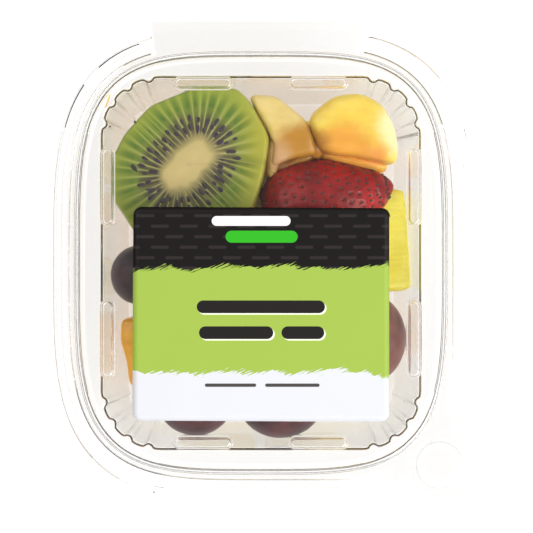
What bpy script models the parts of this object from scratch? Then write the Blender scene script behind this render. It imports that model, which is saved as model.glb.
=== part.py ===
"""Clear hinged tray of cut fruit, lid closed, in metres with +Z up.

The origin is the middle of the tray's underside. +Y points at the hinge and +X to the right.
"""

import math
import random

import bmesh
import bpy
from mathutils import Matrix, Vector

# Sheet and clearances
SHEET = 0.0005  # wall of the thermoformed tray and lid
GAP = 0.0003  # clearance between pieces that touch

# Tray, all heights at the middle of the sheet
OVAL_HALF = (0.0499, 0.0566)  # oval that the lid's dome and the tray's upper wall follow
OVAL_POWER = 3.8  # superellipse exponent of that oval
WELL_HALF = (0.0435, 0.0508)  # top of the tapered wall
WELL_RADIUS = 0.016
FLOOR_HALF = (0.0370, 0.0445)
FLOOR_RADIUS = 0.0095
CHAMFER = 0.0013  # foot of the wall to the floor
FLOOR_Z = SHEET / 2
LEDGE_Z = 0.0340
RIM_Z = 0.0396
LEDGE_OFFSET = -0.0006  # from the oval to the foot of the upper wall
LAND_OFFSET = 0.0003  # from the oval to the top of the upper wall
FLUTES = 4  # inward flutes on each corner of the tapered wall
FLUTE_DEPTH = 0.0011
FLUTE_FOOT = 0.0005  # depth that is left of them at the foot of the wall
FLUTE_BULGE = 0.35  # share of a bulge's roundness against the rib's broad crest
BEAD_OFFSETS = (0.0034, 0.0041, 0.0052, 0.0058)  # raised rim round the lid's edge
BEAD_HEIGHT = 0.0013
BEAD_GAP_HINGE = (-0.0315, 0.0300)  # X where the bead stops for the hinge strip
BEAD_GAP_TAB = (0.0372, -0.0432)  # X and Y past which it stops for the corner tab
FLANGE_OFFSET = 0.00685
SQUARE_RADIUS = 0.006  # corner at the tab, before the offset is added
FLANGE_SHIFT = Vector((0.0007, -0.0006))
FLANGE_TAB_HALF = (0.0580, 0.0654)
FLANGE_TAB_RADIUS = 0.009

# Lid
LID_EDGE_OFFSET = 0.0020
LID_RIM_Z = RIM_Z + SHEET + GAP
LID_WALL_OFFSET = 0.0002
LID_SHOULDERS = ((-0.0006, 0.0463), (-0.0024, 0.04775))  # oval offset and height
TAB_HALF = (0.0587, 0.0662)  # outer corner of the lift tab
TAB_RADIUS = 0.0070
TAB_SWEEPS = ((math.radians(30.3), 0.02397), (math.radians(231.0), 0.0226))
BUTTON_CENTRE = Vector((0.0482, -0.0545))
BUTTON_RINGS = ((0.0069, 0.0), (0.0063, 0.0013), (0.0056, 0.0013), (0.0050, 0.0008))
BUTTON_SIDES = 20
LUG_HEIGHT = 0.0012
LUG_DRAFT = 0.0006
LUG_ENDS = 6  # sides of each half-round end
END_LUG = (0.0156, 0.0034)  # length and width
SIDE_LUG = (0.0208, 0.0036)
END_LUG_AT = (0.0154, 0.0480)
SIDE_LUG_AT = (0.0409, 0.0203)

# Hinge
STRIP_X = (-0.0297, 0.0274)
FOLD_Y = 0.0653
STRIP_CLEARANCE = 0.0002

# Label
LABEL_SIZE = (0.0685, 0.0570)
LABEL_CENTRE = Vector((0.0001, -0.0137))
LABEL_RADIUS = 0.0023
LABEL_THICKNESS = 0.0003
LABEL_CORNER_SIDES = 4

# Rays that every ring of the tray and the lid is sampled on
CORNER_STEPS = 24
SIDE_STEPS = 3
RAY_LENGTH = 0.08
RAY_HALVINGS = 40

# Knife-cut pieces, each with its outline from above in millimetres. A lower piece leans out
# with the wall, and its outline is that at CHUNK_PLAN_Z; an upper one has plumb sides.
FRUIT_FLOOR = SHEET + GAP
CHUNK_PLAN_Z = 0.0265
CHUNK_EDGE = 0.0024
CHUNK_UNEVEN = 0.0005  # how far a corner strays in plan
CHUNK_CROWN = 0.0012  # how far a top corner drops
CHUNK_SEED = 11
LOWER_CHUNKS = (  # name, kind, outline, bottom, top
    (
        "pineapple_back_left",
        "pineapple",
        ((-8, 24.5), (-8, 45), (-26, 44), (-33.5, 38), (-37, 31), (-37, 24.5)),
        FRUIT_FLOOR,
        0.0263,
    ),
    (
        "mango_left",
        "mango",
        ((-9, 5.8), (-9.5, 22), (-38, 22), (-36, 13), (-30, 7.5), (-22, 5.8)),
        FRUIT_FLOOR,
        0.0264,
    ),
    (
        "pineapple_back",
        "pineapple",
        ((-5, 24.5), (14.5, 25), (13, 35.5), (8.5, 38.5), (1.5, 42), (-5, 42.5)),
        FRUIT_FLOOR,
        0.0205,
    ),
    (
        "mango_back_right",
        "mango",
        ((17.5, 25.5), (37, 25.5), (36, 37), (31, 42.5), (19.5, 43.5)),
        FRUIT_FLOOR,
        0.0198,
    ),
    (
        "mango_right_low",
        "mango",
        ((13, -7), (39, -6), (37.5, 18.5), (13, 19)),
        FRUIT_FLOOR,
        0.0116,
    ),
    (
        "pineapple_right",
        "pineapple",
        ((10.6, -7.2), (32.5, -8.4), (41.4, -7.4), (39.8, 20.6), (9.8, 20.2)),
        0.0119,
        0.0289,
    ),
    (
        "pineapple_middle",
        "pale pineapple",
        ((-6, 1), (7.6, 1.5), (7.6, 21), (-6, 21.5)),
        FRUIT_FLOOR,
        0.0266,
    ),
    (
        "mango_middle",
        "mango",
        ((-12, -24), (10.5, -24.5), (7.6, -2), (-10.5, -2)),
        FRUIT_FLOOR,
        0.0300,
    ),
    (
        "pineapple_left",
        "pale pineapple",
        ((-14, -11), (-13, 2), (-36, 2), (-39, -2), (-39, -5.5), (-36, -10.5)),
        FRUIT_FLOOR,
        0.0203,
    ),
    (
        "mango_front_left",
        "mango",
        (
            (-38.8, -14.9),
            (-17, -14.8),
            (-18.5, -23),
            (-30.6, -31.8),
            (-36.4, -34.6),
            (-37.0, -26.6),
            (-38.2, -21.0),
        ),
        FRUIT_FLOOR,
        0.0300,
    ),
    (
        "pineapple_front_left",
        "pineapple",
        ((-27, -39), (-24, -45.5), (-1.5, -46.5), (-2, -28.5), (-20, -28)),
        FRUIT_FLOOR,
        0.0182,
    ),
    (
        "pineapple_front",
        "pale pineapple",
        ((1, -28), (1.5, -46.8), (24, -46.2), (29.5, -41.5), (29.5, -34.5), (12, -28)),
        FRUIT_FLOOR,
        0.0180,
    ),
    (
        "mango_right_front",
        "mango",
        ((13.5, -11), (36, -11), (38.5, -16), (38.5, -25), (35, -30), (14, -25.5)),
        FRUIT_FLOOR,
        0.0190,
    ),
)
UPPER_CHUNKS = (  # name, kind, outline, bottom, top, rounding of the edges
    (
        "pineapple_top_pale",
        "pale pineapple",
        (
            (-3.0, 45.4),
            (1.3, 37.8),
            (3.4, 32.6),
            (2.6, 26.6),
            (7.6, 28.2),
            (14.9, 29.5),
            (13.6, 33.8),
            (11.9, 38.7),
            (3.4, 45.4),
        ),
        0.0209,
        0.0375,
        0.0014,
    ),
    (
        "pineapple_top_right",
        "pineapple",
        (
            (12.9, 39.6),
            (14.9, 33.6),
            (16.0, 29.8),
            (25.5, 29.4),
            (31.8, 28.0),
            (37.0, 26.4),
            (36.8, 34.4),
            (33.6, 42.0),
            (27.2, 45.9),
            (19.6, 45.2),
        ),
        0.0202,
        0.0402,
        0.0026,
    ),
)

# Grapes: centre and half axes
GRAPES = {
    "grape_left": ((-0.0330, -0.0033, 0.0290), (0.0082, 0.0082, 0.0083)),
    "grape_right": ((0.0305, -0.0206, 0.0283), (0.0092, 0.0118, 0.0089)),
    "grape_front_left": ((-0.0180, -0.0375, 0.0281), (0.0106, 0.0098, 0.0095)),
    "grape_front": ((0.0054, -0.0380, 0.0280), (0.0116, 0.0100, 0.0096)),
}
GRAPE_SIDES = 14
GRAPE_RINGS = 9

# Kiwi slice
KIWI_CENTRE = Vector((-0.0196, 0.0265))
KIWI_FACETS = (  # knife cuts: direction in degrees and distance from the centre
    (84, 0.0221),
    (47, 0.0243),
    (28, 0.0230),
    (-7, 0.0209),
    (-17, 0.0205),
    (-60, 0.0205),
    (-102, 0.0210),
    (-146.6, 0.0223),
    (180, 0.0212),
    (155.3, 0.0195),
    (138, 0.0186),
    (112.5, 0.0189),
)
KIWI_SHARPNESS = 36  # of the corners between the cuts
KIWI_STEPS = 44
KIWI_BOTTOM = 0.0270
KIWI_TOP = 0.0408
KIWI_SLOPE = -0.045  # rise of the cut face along X
KIWI_BELLY = 0.0070  # widest this far under the cut face
KIWI_EDGE = 0.0007  # softened edge of the cut face
KIWI_SCALES = (0.955, 1.0, 0.985, 0.955)  # outline at the bottom, belly, edge and face
KIWI_CORE_TURN = math.radians(46)
KIWI_SEED_RINGS = ((24, 0.0118, 0.0086), (22, 0.0138, 0.0107))  # count and half axes
KIWI_SEED = (0.0011, 0.00055, 0.0004)
KIWI_SEED_RISE = 0.00005

# Strawberry half, its cut face down
BERRY_TIP = Vector((0.0363, 0.0214))
BERRY_HEEL = Vector((0.0010, 0.0126))
BERRY_WIDTHS = (0.0064, 0.0112, 0.0124, 0.0125, 0.0119, 0.0105, 0.0088, 0.0063)
BERRY_HEIGHT = 0.90  # height of the half over half its width
BERRY_SIDES = 14
BERRY_BOTTOM = (0.0293, 0.0300)  # cut face at the heel and at the tip
BERRY_TIP_RISE = 0.0008
ACHENE = (0.00085, 0.00055, 0.0004)
ACHENE_ROWS = 7
ACHENE_COLUMNS = 7
ACHENE_ENDS = (0.7, 0.9)  # rows left clear at the heel and at the tip

PET = (0.93, 0.95, 0.94, 1.0)
PAPER = (0.42, 0.68, 0.12, 1.0)
PINEAPPLE = (0.90, 0.66, 0.10, 1.0)
PALE_PINEAPPLE = (0.93, 0.78, 0.30, 1.0)
MANGO = (0.93, 0.42, 0.03, 1.0)
GRAPE = (0.055, 0.025, 0.040, 1.0)
KIWI = (0.27, 0.40, 0.06, 1.0)
BERRY = (0.45, 0.02, 0.02, 1.0)


def clear_scene():
    for thing in list(bpy.data.objects):
        bpy.data.objects.remove(thing, do_unlink=True)


def material(name, colour, roughness, alpha=1.0):
    made = bpy.data.materials.new(name)
    made.use_nodes = True
    shader = made.node_tree.nodes["Principled BSDF"]
    shader.inputs["Base Color"].default_value = colour
    shader.inputs["Roughness"].default_value = roughness
    shader.inputs["Metallic"].default_value = 0.0
    shader.inputs["Alpha"].default_value = alpha
    return made


def object_from(bm, name, look):
    mesh = bpy.data.meshes.new(name)
    bm.to_mesh(mesh)
    bm.free()
    made = bpy.data.objects.new(name, mesh)
    mesh.materials.append(look)
    bpy.context.scene.collection.objects.link(made)
    return made


def smooth(thing, degrees=35):
    thing.data.shade_smooth()
    thing.data.set_sharp_from_angle(angle=math.radians(degrees))


def apply_modifiers(thing):
    bpy.context.view_layer.objects.active = thing
    for modifier in list(thing.modifiers):
        bpy.ops.object.modifier_apply(modifier=modifier.name)


# Outlines, each a function that is negative inside


def oval_level(point):
    across, along = (abs(value) / half for value, half in zip(point, OVAL_HALF))
    return across**OVAL_POWER + along**OVAL_POWER - 1


def box_level(half, radius):
    def level(point):
        beyond = [max(abs(v) - (h - radius), 0) for v, h in zip(point, half)]
        return math.hypot(*beyond) - radius

    return level


def tab_level(point):
    levels = [box_level(TAB_HALF, TAB_RADIUS)(point)]
    for angle, distance in TAB_SWEEPS:
        levels.append(point[0] * math.cos(angle) + point[1] * math.sin(angle) - distance)
    return max(levels)


def direction(angle):
    return Vector((math.cos(angle), math.sin(angle)))


def reach(station, level):
    """Where the ray of this station leaves an outline."""
    start, angle = station
    near, far = 0.0, RAY_LENGTH
    for _ in range(RAY_HALVINGS):
        middle = (near + far) / 2
        if level(start + direction(angle) * middle) < 0:
            near = middle
        else:
            far = middle
    return start + direction(angle) * near


def make_stations():
    """Rays out of a rectangle inside the well: a fan at each corner, spread along each side."""
    signs = ((1, 1), (-1, 1), (-1, -1), (1, -1))
    corners = [
        Vector((sx * (WELL_HALF[0] - WELL_RADIUS), sy * (WELL_HALF[1] - WELL_RADIUS)))
        for sx, sy in signs
    ]
    stations = []
    for turn, corner in enumerate(corners):
        start = turn * math.pi / 2
        for step in range(CORNER_STEPS + 1):
            stations.append((corner, start + math.pi / 2 * step / CORNER_STEPS))
        following = corners[(turn + 1) % len(corners)]
        for step in range(1, SIDE_STEPS):
            stations.append((corner.lerp(following, step / SIDE_STEPS), start + math.pi / 2))
    return stations


STATIONS = make_stations()


def in_tab_corner(station):
    return station[0].x > 0 and station[0].y < 0 and station[1] > 1.5 * math.pi - 0.01


def oval_point(station, offset):
    point = reach(station, oval_level)
    slope = [
        math.copysign(abs(v) ** (OVAL_POWER - 1), v) / half**OVAL_POWER
        for v, half in zip(point, OVAL_HALF)
    ]
    return point + Vector(slope).normalized() * offset


def oval_ring(offset):
    return [oval_point(station, offset) for station in STATIONS]


def rim_ring(offset):
    """Ring outside the oval, which runs on straight to a squarer corner at the tab."""
    half = [value + offset for value in OVAL_HALF]
    return with_tab(oval_ring(offset), box_level(half, SQUARE_RADIUS + offset))


def well_ring(half, radius, depth):
    """Ring of the tapered wall, with its corners in bulges that meet at ribs this deep."""
    ring = []
    for station in STATIONS:
        turn = math.pi * FLUTES * (station[1] % (math.pi / 2) / (math.pi / 2))
        bulge = 1 - abs(math.cos(turn))
        crest = max(-math.cos(2 * turn), 0)
        wave = FLUTE_BULGE * bulge + (1 - FLUTE_BULGE) * crest**2 * (3 - 2 * crest)
        point = reach(station, box_level(half, radius))
        ring.append(point - direction(station[1]) * depth * wave)
    return ring


def with_strip(ring, fold_y):
    """The outline with the hinge strip's corners in place of the points behind it."""
    low, high = STRIP_X
    outline = []
    started = False
    for point in ring:
        if point.y > 0 and low < point.x < high:
            if not started:
                edge = point.y
                outline += [Vector((high, edge)), Vector((high, fold_y))]
                outline += [Vector((low, fold_y)), Vector((low, edge))]
                started = True
        else:
            outline.append(point)
    return outline


def with_tab(ring, level):
    """The outline pushed out to the corner tab where that reaches further."""
    outline = []
    for station, point in zip(STATIONS, ring):
        if in_tab_corner(station):
            other = reach(station, level)
            if (other - station[0]).length > (point - station[0]).length:
                point = other
        outline.append(point)
    return outline


# Building blocks on a bmesh


def add_loop(bm, outline, height):
    heights = height if isinstance(height, list) else [height] * len(outline)
    verts = [bm.verts.new((p[0], p[1], z)) for p, z in zip(outline, heights)]
    for vert, following in zip(verts, verts[1:] + verts[:1]):
        bm.edges.new((vert, following))
    return verts


def loop_edges(bm, verts):
    return [bm.edges.get((a, b)) for a, b in zip(verts, verts[1:] + verts[:1])]


def bridge(bm, outer, inner):
    for a, b, c, d in zip(outer, outer[1:] + outer[:1], inner[1:] + inner[:1], inner):
        bm.faces.new((a, b, c, d))


def fill_between(bm, *loops):
    edges = [edge for loop in loops for edge in loop_edges(bm, loop)]
    bmesh.ops.triangle_fill(bm, use_beauty=True, edges=edges, normal=(0, 0, 1))


def solidify(thing, thickness):
    """Turns the open sheet into a closed body, half of its thickness to each side."""
    wall = thing.modifiers.new("Wall", "SOLIDIFY")
    wall.thickness = thickness
    wall.offset = 0
    wall.use_even_offset = True
    return wall


# Clear pack


def bead_heights(ring, height):
    """Heights of a bead ring, which drops to the flange at the hinge and at the tab."""
    heights = []
    for point in ring:
        at_hinge = point.y > 0 and BEAD_GAP_HINGE[0] < point.x < BEAD_GAP_HINGE[1]
        at_tab = point.x > BEAD_GAP_TAB[0] and point.y < BEAD_GAP_TAB[1]
        heights.append(RIM_Z if at_hinge or at_tab else RIM_Z + height)
    return heights


def make_tray(look):
    bm = bmesh.new()
    flange = [point + FLANGE_SHIFT for point in oval_ring(FLANGE_OFFSET)]
    flange = with_tab(flange, box_level(FLANGE_TAB_HALF, FLANGE_TAB_RADIUS))
    flange = with_strip(flange, FOLD_Y - STRIP_CLEARANCE)
    edge = add_loop(bm, flange, RIM_Z)
    inner_foot, inner_top, outer_top, outer_foot = (rim_ring(o) for o in BEAD_OFFSETS)
    rings = [
        add_loop(bm, outer_foot, RIM_Z),
        add_loop(bm, outer_top, bead_heights(outer_top, BEAD_HEIGHT)),
        add_loop(bm, inner_top, bead_heights(inner_top, BEAD_HEIGHT)),
        add_loop(bm, inner_foot, RIM_Z),
        add_loop(bm, oval_ring(LAND_OFFSET), RIM_Z),
        add_loop(bm, oval_ring(LEDGE_OFFSET), LEDGE_Z),
        add_loop(bm, well_ring(WELL_HALF, WELL_RADIUS, FLUTE_DEPTH), LEDGE_Z),
    ]
    foot_half = [half + CHAMFER / 2 for half in FLOOR_HALF]
    rings.append(add_loop(bm, well_ring(foot_half, FLOOR_RADIUS, FLUTE_FOOT), FLOOR_Z + CHAMFER))
    floor_half = [half - CHAMFER / 2 for half in FLOOR_HALF]
    rings.append(add_loop(bm, well_ring(floor_half, FLOOR_RADIUS, 0), FLOOR_Z))
    fill_between(bm, edge, rings[0])
    for outer, inner in zip(rings, rings[1:]):
        bridge(bm, outer, inner)
    bm.faces.new(rings[-1])
    bmesh.ops.recalc_face_normals(bm, faces=bm.faces)
    tray = object_from(bm, "base_tray", look)
    solidify(tray, SHEET)
    smooth(tray)
    return tray


def stadium(centre, length, width, upright):
    """Outline of a lug: a bar with half-round ends."""
    straight = (length - width) / 2
    outline = []
    for end in (1, -1):
        for step in range(LUG_ENDS + 1):
            angle = math.pi * (step / LUG_ENDS - 0.5 if end > 0 else step / LUG_ENDS + 0.5)
            point = Vector((end * straight, 0)) + direction(angle) * width / 2
            outline.append(centre + (point.orthogonal() if upright else point))
    return outline


def add_lug(bm, centre, size, upright, panel_z):
    length, width = size
    foot = add_loop(bm, stadium(centre, length, width, upright), panel_z)
    inset = 2 * LUG_DRAFT
    crown = stadium(centre, length - inset, width - inset, upright)
    top = add_loop(bm, crown, panel_z + LUG_HEIGHT)
    bridge(bm, foot, top)
    bm.faces.new(top)
    return foot


def circle(centre, radius, sides):
    return [centre + direction(2 * math.pi * i / sides) * radius for i in range(sides)]


def add_button(bm):
    rings = [
        add_loop(bm, circle(BUTTON_CENTRE, radius, BUTTON_SIDES), LID_RIM_Z + rise)
        for radius, rise in BUTTON_RINGS
    ]
    for outer, inner in zip(rings, rings[1:]):
        bridge(bm, outer, inner)
    bm.faces.new(rings[-1])
    return rings[0]


def make_lid(look):
    bm = bmesh.new()
    outline = with_strip(with_tab(rim_ring(LID_EDGE_OFFSET), tab_level), FOLD_Y)
    edge = add_loop(bm, outline, LID_RIM_Z)
    rings = [add_loop(bm, oval_ring(LID_WALL_OFFSET), LID_RIM_Z)]
    for offset, height in LID_SHOULDERS:
        rings.append(add_loop(bm, oval_ring(offset), height))
    fill_between(bm, edge, rings[0], add_button(bm))
    for outer, inner in zip(rings, rings[1:]):
        bridge(bm, outer, inner)
    panel_z = LID_SHOULDERS[-1][1]
    feet = []
    for sx in (-1, 1):
        for sy in (-1, 1):
            end_at = Vector((sx * END_LUG_AT[0], sy * END_LUG_AT[1]))
            side_at = Vector((sx * SIDE_LUG_AT[0], sy * SIDE_LUG_AT[1]))
            feet.append(add_lug(bm, end_at, END_LUG, False, panel_z))
            feet.append(add_lug(bm, side_at, SIDE_LUG, True, panel_z))
    fill_between(bm, rings[-1], *feet)
    bmesh.ops.recalc_face_normals(bm, faces=bm.faces)
    lid = object_from(bm, "lid", look)
    solidify(lid, SHEET)
    smooth(lid)
    return lid


def make_label(look):
    bm = bmesh.new()
    outline = []
    for turn, (sx, sy) in enumerate(((1, 1), (-1, 1), (-1, -1), (1, -1))):
        corner = Vector(
            (
                sx * (LABEL_SIZE[0] / 2 - LABEL_RADIUS),
                sy * (LABEL_SIZE[1] / 2 - LABEL_RADIUS),
            )
        )
        for step in range(LABEL_CORNER_SIDES + 1):
            angle = math.pi / 2 * (turn + step / LABEL_CORNER_SIDES)
            outline.append(LABEL_CENTRE + corner + direction(angle) * LABEL_RADIUS)
    bottom = LID_SHOULDERS[-1][1] + SHEET / 2 + GAP
    low = add_loop(bm, outline, bottom)
    high = add_loop(bm, outline, bottom + LABEL_THICKNESS)
    bridge(bm, low, high)
    bm.faces.new(low)
    bm.faces.new(high)
    bmesh.ops.recalc_face_normals(bm, faces=bm.faces)
    return object_from(bm, "label", look)


# Fruit


def wall_scale(height):
    """How wide the tapered well is here, against its width at CHUNK_PLAN_Z."""
    scale = []
    for low, high in zip(FLOOR_HALF, WELL_HALF):
        here = low + (high - low) * height / LEDGE_Z
        there = low + (high - low) * CHUNK_PLAN_Z / LEDGE_Z
        scale.append(here / there)
    return scale


def stray(rng):
    return rng.uniform(-1, 1) * CHUNK_UNEVEN


def make_chunk(name, look, outline, bottom, top, edge, leans, seed):
    """A knife-cut piece with softened edges. One that leans follows the tray's wall."""
    rng = random.Random(seed)
    bm = bmesh.new()
    loops = []
    for height in (bottom, top):
        sx, sy = wall_scale(height) if leans else (1, 1)
        points = [
            Vector((x / 1000 * sx + stray(rng), y / 1000 * sy + stray(rng))) for x, y in outline
        ]
        crown = CHUNK_CROWN if height == top else 0
        loops.append(add_loop(bm, points, [height - rng.uniform(0, crown) for _ in outline]))
    bridge(bm, loops[0], loops[1])
    bm.faces.new(loops[0])
    crown = bm.faces.new(loops[1])
    bmesh.ops.recalc_face_normals(bm, faces=bm.faces)
    bmesh.ops.poke(bm, faces=[crown])
    bmesh.ops.bevel(
        bm,
        geom=[e for e in bm.edges if e.calc_face_angle(0) > math.radians(25)],
        offset=edge,
        segments=2,
        profile=0.5,
        affect="EDGES",
        clamp_overlap=True,
    )
    bmesh.ops.triangulate(bm, faces=bm.faces)
    chunk = object_from(bm, name, look)
    smooth(chunk, 28)
    return chunk


def make_grapes(look):
    for name, (centre, half) in GRAPES.items():
        bm = bmesh.new()
        bmesh.ops.create_uvsphere(
            bm, u_segments=GRAPE_SIDES, v_segments=GRAPE_RINGS, radius=1
        )
        place = Matrix.Translation(centre) @ Matrix.Diagonal((*half, 1))
        bmesh.ops.transform(bm, matrix=place, verts=bm.verts)
        object_from(bm, name, look).data.shade_smooth()


def seed_object(matrix, size, collection):
    bm = bmesh.new()
    bmesh.ops.create_icosphere(bm, subdivisions=1, radius=1)
    bmesh.ops.transform(bm, matrix=matrix @ Matrix.Diagonal((*size, 1)), verts=bm.verts)
    mesh = bpy.data.meshes.new("seed")
    bm.to_mesh(mesh)
    bm.free()
    collection.objects.link(bpy.data.objects.new("seed", mesh))


def fuse(host, collection):
    """Joins the seeds to the fruit that they lie on, and removes them."""
    bpy.context.scene.collection.children.link(collection)
    union = host.modifiers.new("Seeds", "BOOLEAN")
    union.operation = "UNION"
    union.operand_type = "COLLECTION"
    union.collection = collection
    apply_modifiers(host)
    for seed in list(collection.objects):
        bpy.data.objects.remove(seed, do_unlink=True)
    bpy.data.collections.remove(collection)


def kiwi_radius(angle):
    """Distance to the knife cuts in this direction, with each corner a little rounded."""
    total = 0.0
    for degrees, distance in KIWI_FACETS:
        facing = math.cos(angle - math.radians(degrees))
        if facing > 0:
            total += (facing / distance) ** KIWI_SHARPNESS
    return total ** (-1 / KIWI_SHARPNESS)


def kiwi_top(point):
    return KIWI_TOP + (point.x - KIWI_CENTRE.x) * KIWI_SLOPE


def make_kiwi(look):
    bm = bmesh.new()
    angles = [2 * math.pi * i / KIWI_STEPS for i in range(KIWI_STEPS)]
    outline = [direction(a) * kiwi_radius(a) for a in angles]

    rings = [[KIWI_CENTRE + p * scale for p in outline] for scale in KIWI_SCALES]
    loops = [add_loop(bm, rings[0], KIWI_BOTTOM)]
    for points, drop in zip(rings[1:], (KIWI_BELLY, KIWI_EDGE, 0)):
        loops.append(add_loop(bm, points, [kiwi_top(p) - drop for p in points]))
    for low, high in zip(loops, loops[1:]):
        bridge(bm, low, high)
    bm.faces.new(loops[0])
    bm.faces.new(loops[-1])
    bmesh.ops.recalc_face_normals(bm, faces=bm.faces)
    kiwi = object_from(bm, "kiwi_slice", look)
    seeds = bpy.data.collections.new("kiwi_seeds")
    rng = random.Random(7)
    for count, long_half, short_half in KIWI_SEED_RINGS:
        for i in range(count):
            angle = 2 * math.pi * (i + rng.uniform(-0.25, 0.25)) / count
            away = rng.uniform(0.93, 1.07)
            local = Vector((math.cos(angle) * long_half, math.sin(angle) * short_half)) * away
            local.rotate(Matrix.Rotation(KIWI_CORE_TURN, 2))
            point = KIWI_CENTRE + local
            turn = math.atan2(local.y, local.x)
            place = Matrix.Translation((point.x, point.y, kiwi_top(point) + KIWI_SEED_RISE))
            seed_object(place @ Matrix.Rotation(turn, 4, "Z"), KIWI_SEED, seeds)
    fuse(kiwi, seeds)
    smooth(kiwi)
    return kiwi


def berry_frame():
    """Places the half strawberry: X runs from its heel to its tip, on the tilted cut face."""
    heel = Vector((*BERRY_HEEL, BERRY_BOTTOM[0]))
    tip = Vector((*BERRY_TIP, BERRY_BOTTOM[1]))
    along = (tip - heel).normalized()
    across = Vector((0, 0, 1)).cross(along).normalized()
    up = along.cross(across)
    turn = Matrix((along, across, up)).transposed().to_4x4()
    return Matrix.Translation(heel) @ turn, (tip - heel).length


def berry_half_width(share):
    """Half width of the strawberry at this share of its length, by smooth steps."""
    if share >= 1:
        return 0.0
    place = share * len(BERRY_WIDTHS)
    low = min(int(place), len(BERRY_WIDTHS) - 1)
    following = BERRY_WIDTHS[low + 1] if low + 1 < len(BERRY_WIDTHS) else 0.0
    return BERRY_WIDTHS[low] + (following - BERRY_WIDTHS[low]) * (place - low)


def berry_point(share, angle, length):
    width = berry_half_width(share)
    return Vector(
        (share * length, math.cos(angle) * width, math.sin(angle) * width * BERRY_HEIGHT)
    )


def make_strawberry(look):
    place, length = berry_frame()
    bm = bmesh.new()
    arcs = []
    for index in range(len(BERRY_WIDTHS)):
        share = index / len(BERRY_WIDTHS)
        angles = [math.pi * i / BERRY_SIDES for i in range(BERRY_SIDES + 1)]
        arcs.append([bm.verts.new(berry_point(share, a, length)) for a in angles])
    tip = bm.verts.new((length, 0, BERRY_TIP_RISE))
    for arc, following in zip(arcs, arcs[1:]):
        for i in range(BERRY_SIDES):
            bm.faces.new((arc[i], arc[i + 1], following[i + 1], following[i]))
        bm.faces.new((arc[0], following[0], following[-1], arc[-1]))
    for i in range(BERRY_SIDES):
        bm.faces.new((arcs[-1][i], arcs[-1][i + 1], tip))
    bm.faces.new((arcs[-1][0], tip, arcs[-1][-1]))
    bm.faces.new(arcs[0])
    bmesh.ops.recalc_face_normals(bm, faces=bm.faces)
    bmesh.ops.transform(bm, matrix=place, verts=bm.verts)
    berry = object_from(bm, "strawberry_half", look)
    seeds = bpy.data.collections.new("achenes")
    for row in range(ACHENE_ROWS):
        share = (row + ACHENE_ENDS[0]) / (ACHENE_ROWS + ACHENE_ENDS[1])
        for column in range(ACHENE_COLUMNS):
            angle = math.pi * (column + 0.5 + 0.5 * (row % 2)) / (ACHENE_COLUMNS + 0.5)
            point = berry_point(share, angle, length)
            ahead = berry_point(share + 0.02, angle, length) - point
            around = berry_point(share, angle + 0.02, length) - point
            out = ahead.cross(around).normalized()
            frame = Matrix((ahead.normalized(), out.cross(ahead.normalized()), out))
            local = Matrix.Translation(point) @ frame.transposed().to_4x4()
            seed_object(place @ local, ACHENE, seeds)
    fuse(berry, seeds)
    smooth(berry, 50)
    return berry


def make_chunks(looks):
    seed = CHUNK_SEED
    for name, kind, outline, bottom, top in LOWER_CHUNKS:
        make_chunk(name, looks[kind], outline, bottom, top, CHUNK_EDGE, True, seed)
        seed += 1
    for name, kind, outline, bottom, top, edge in UPPER_CHUNKS:
        make_chunk(name, looks[kind], outline, bottom, top, edge, False, seed)
        seed += 1


def main():
    clear_scene()
    clear = material("clear PET", PET, 0.06, alpha=0.3)
    make_tray(clear)
    make_lid(clear)
    make_label(material("printed paper", PAPER, 0.35))
    make_kiwi(material("kiwi flesh", KIWI, 0.35))
    make_strawberry(material("strawberry skin", BERRY, 0.3))
    make_chunks(
        {
            "pineapple": material("pineapple flesh", PINEAPPLE, 0.4),
            "pale pineapple": material("pale pineapple flesh", PALE_PINEAPPLE, 0.4),
            "mango": material("mango flesh", MANGO, 0.4),
        }
    )
    make_grapes(material("grape skin", GRAPE, 0.3))


main()
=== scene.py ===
# %% [markdown]
# # A clear hinged tray of cut fruit
# The real object is one sheet of clear PET, formed over a mould into a tray and a lid with a
# strip between them that folds. Cut fruit lies in it, and a paper label is stuck on the lid.
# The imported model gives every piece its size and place, so it is loaded first. What follows
# makes finer pieces on those places, and the surfaces that the real materials have.

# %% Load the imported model
import math
import random

import bmesh
import bpy
from mathutils import Matrix, Vector, noise
from mathutils.kdtree import KDTree


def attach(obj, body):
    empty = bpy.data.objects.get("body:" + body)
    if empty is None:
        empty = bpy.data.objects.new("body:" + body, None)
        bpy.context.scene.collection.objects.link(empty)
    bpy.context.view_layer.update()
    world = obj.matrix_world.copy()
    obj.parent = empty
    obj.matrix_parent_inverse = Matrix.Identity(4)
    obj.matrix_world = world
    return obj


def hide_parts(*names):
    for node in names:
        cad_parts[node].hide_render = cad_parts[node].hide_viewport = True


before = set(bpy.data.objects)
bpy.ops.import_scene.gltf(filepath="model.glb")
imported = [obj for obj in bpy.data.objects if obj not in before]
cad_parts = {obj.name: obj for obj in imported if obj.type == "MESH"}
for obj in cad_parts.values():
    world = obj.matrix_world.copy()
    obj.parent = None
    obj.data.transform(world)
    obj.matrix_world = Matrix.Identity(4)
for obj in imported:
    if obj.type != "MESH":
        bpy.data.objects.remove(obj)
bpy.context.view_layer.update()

MM = 0.001

# %% [markdown]
# ## Camera
# The picture looks straight down. How far the label, the lid and the tray's floor shift against
# each other says that the lens was about 0.7 m above the flange, and that plane fills the frame
# with 143.9 mm. A perspective camera at that height keeps those shifts, which an orthographic
# one would lose.

# %% Camera straight above the tray
FLANGE_Z = 40 * MM
CAMERA_RISE = 700 * MM
FRAME_WIDTH = 143.9 * MM
FRAME_CENTRE = (1.5 * MM, -0.95 * MM)
SENSOR_MM = 36

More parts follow.
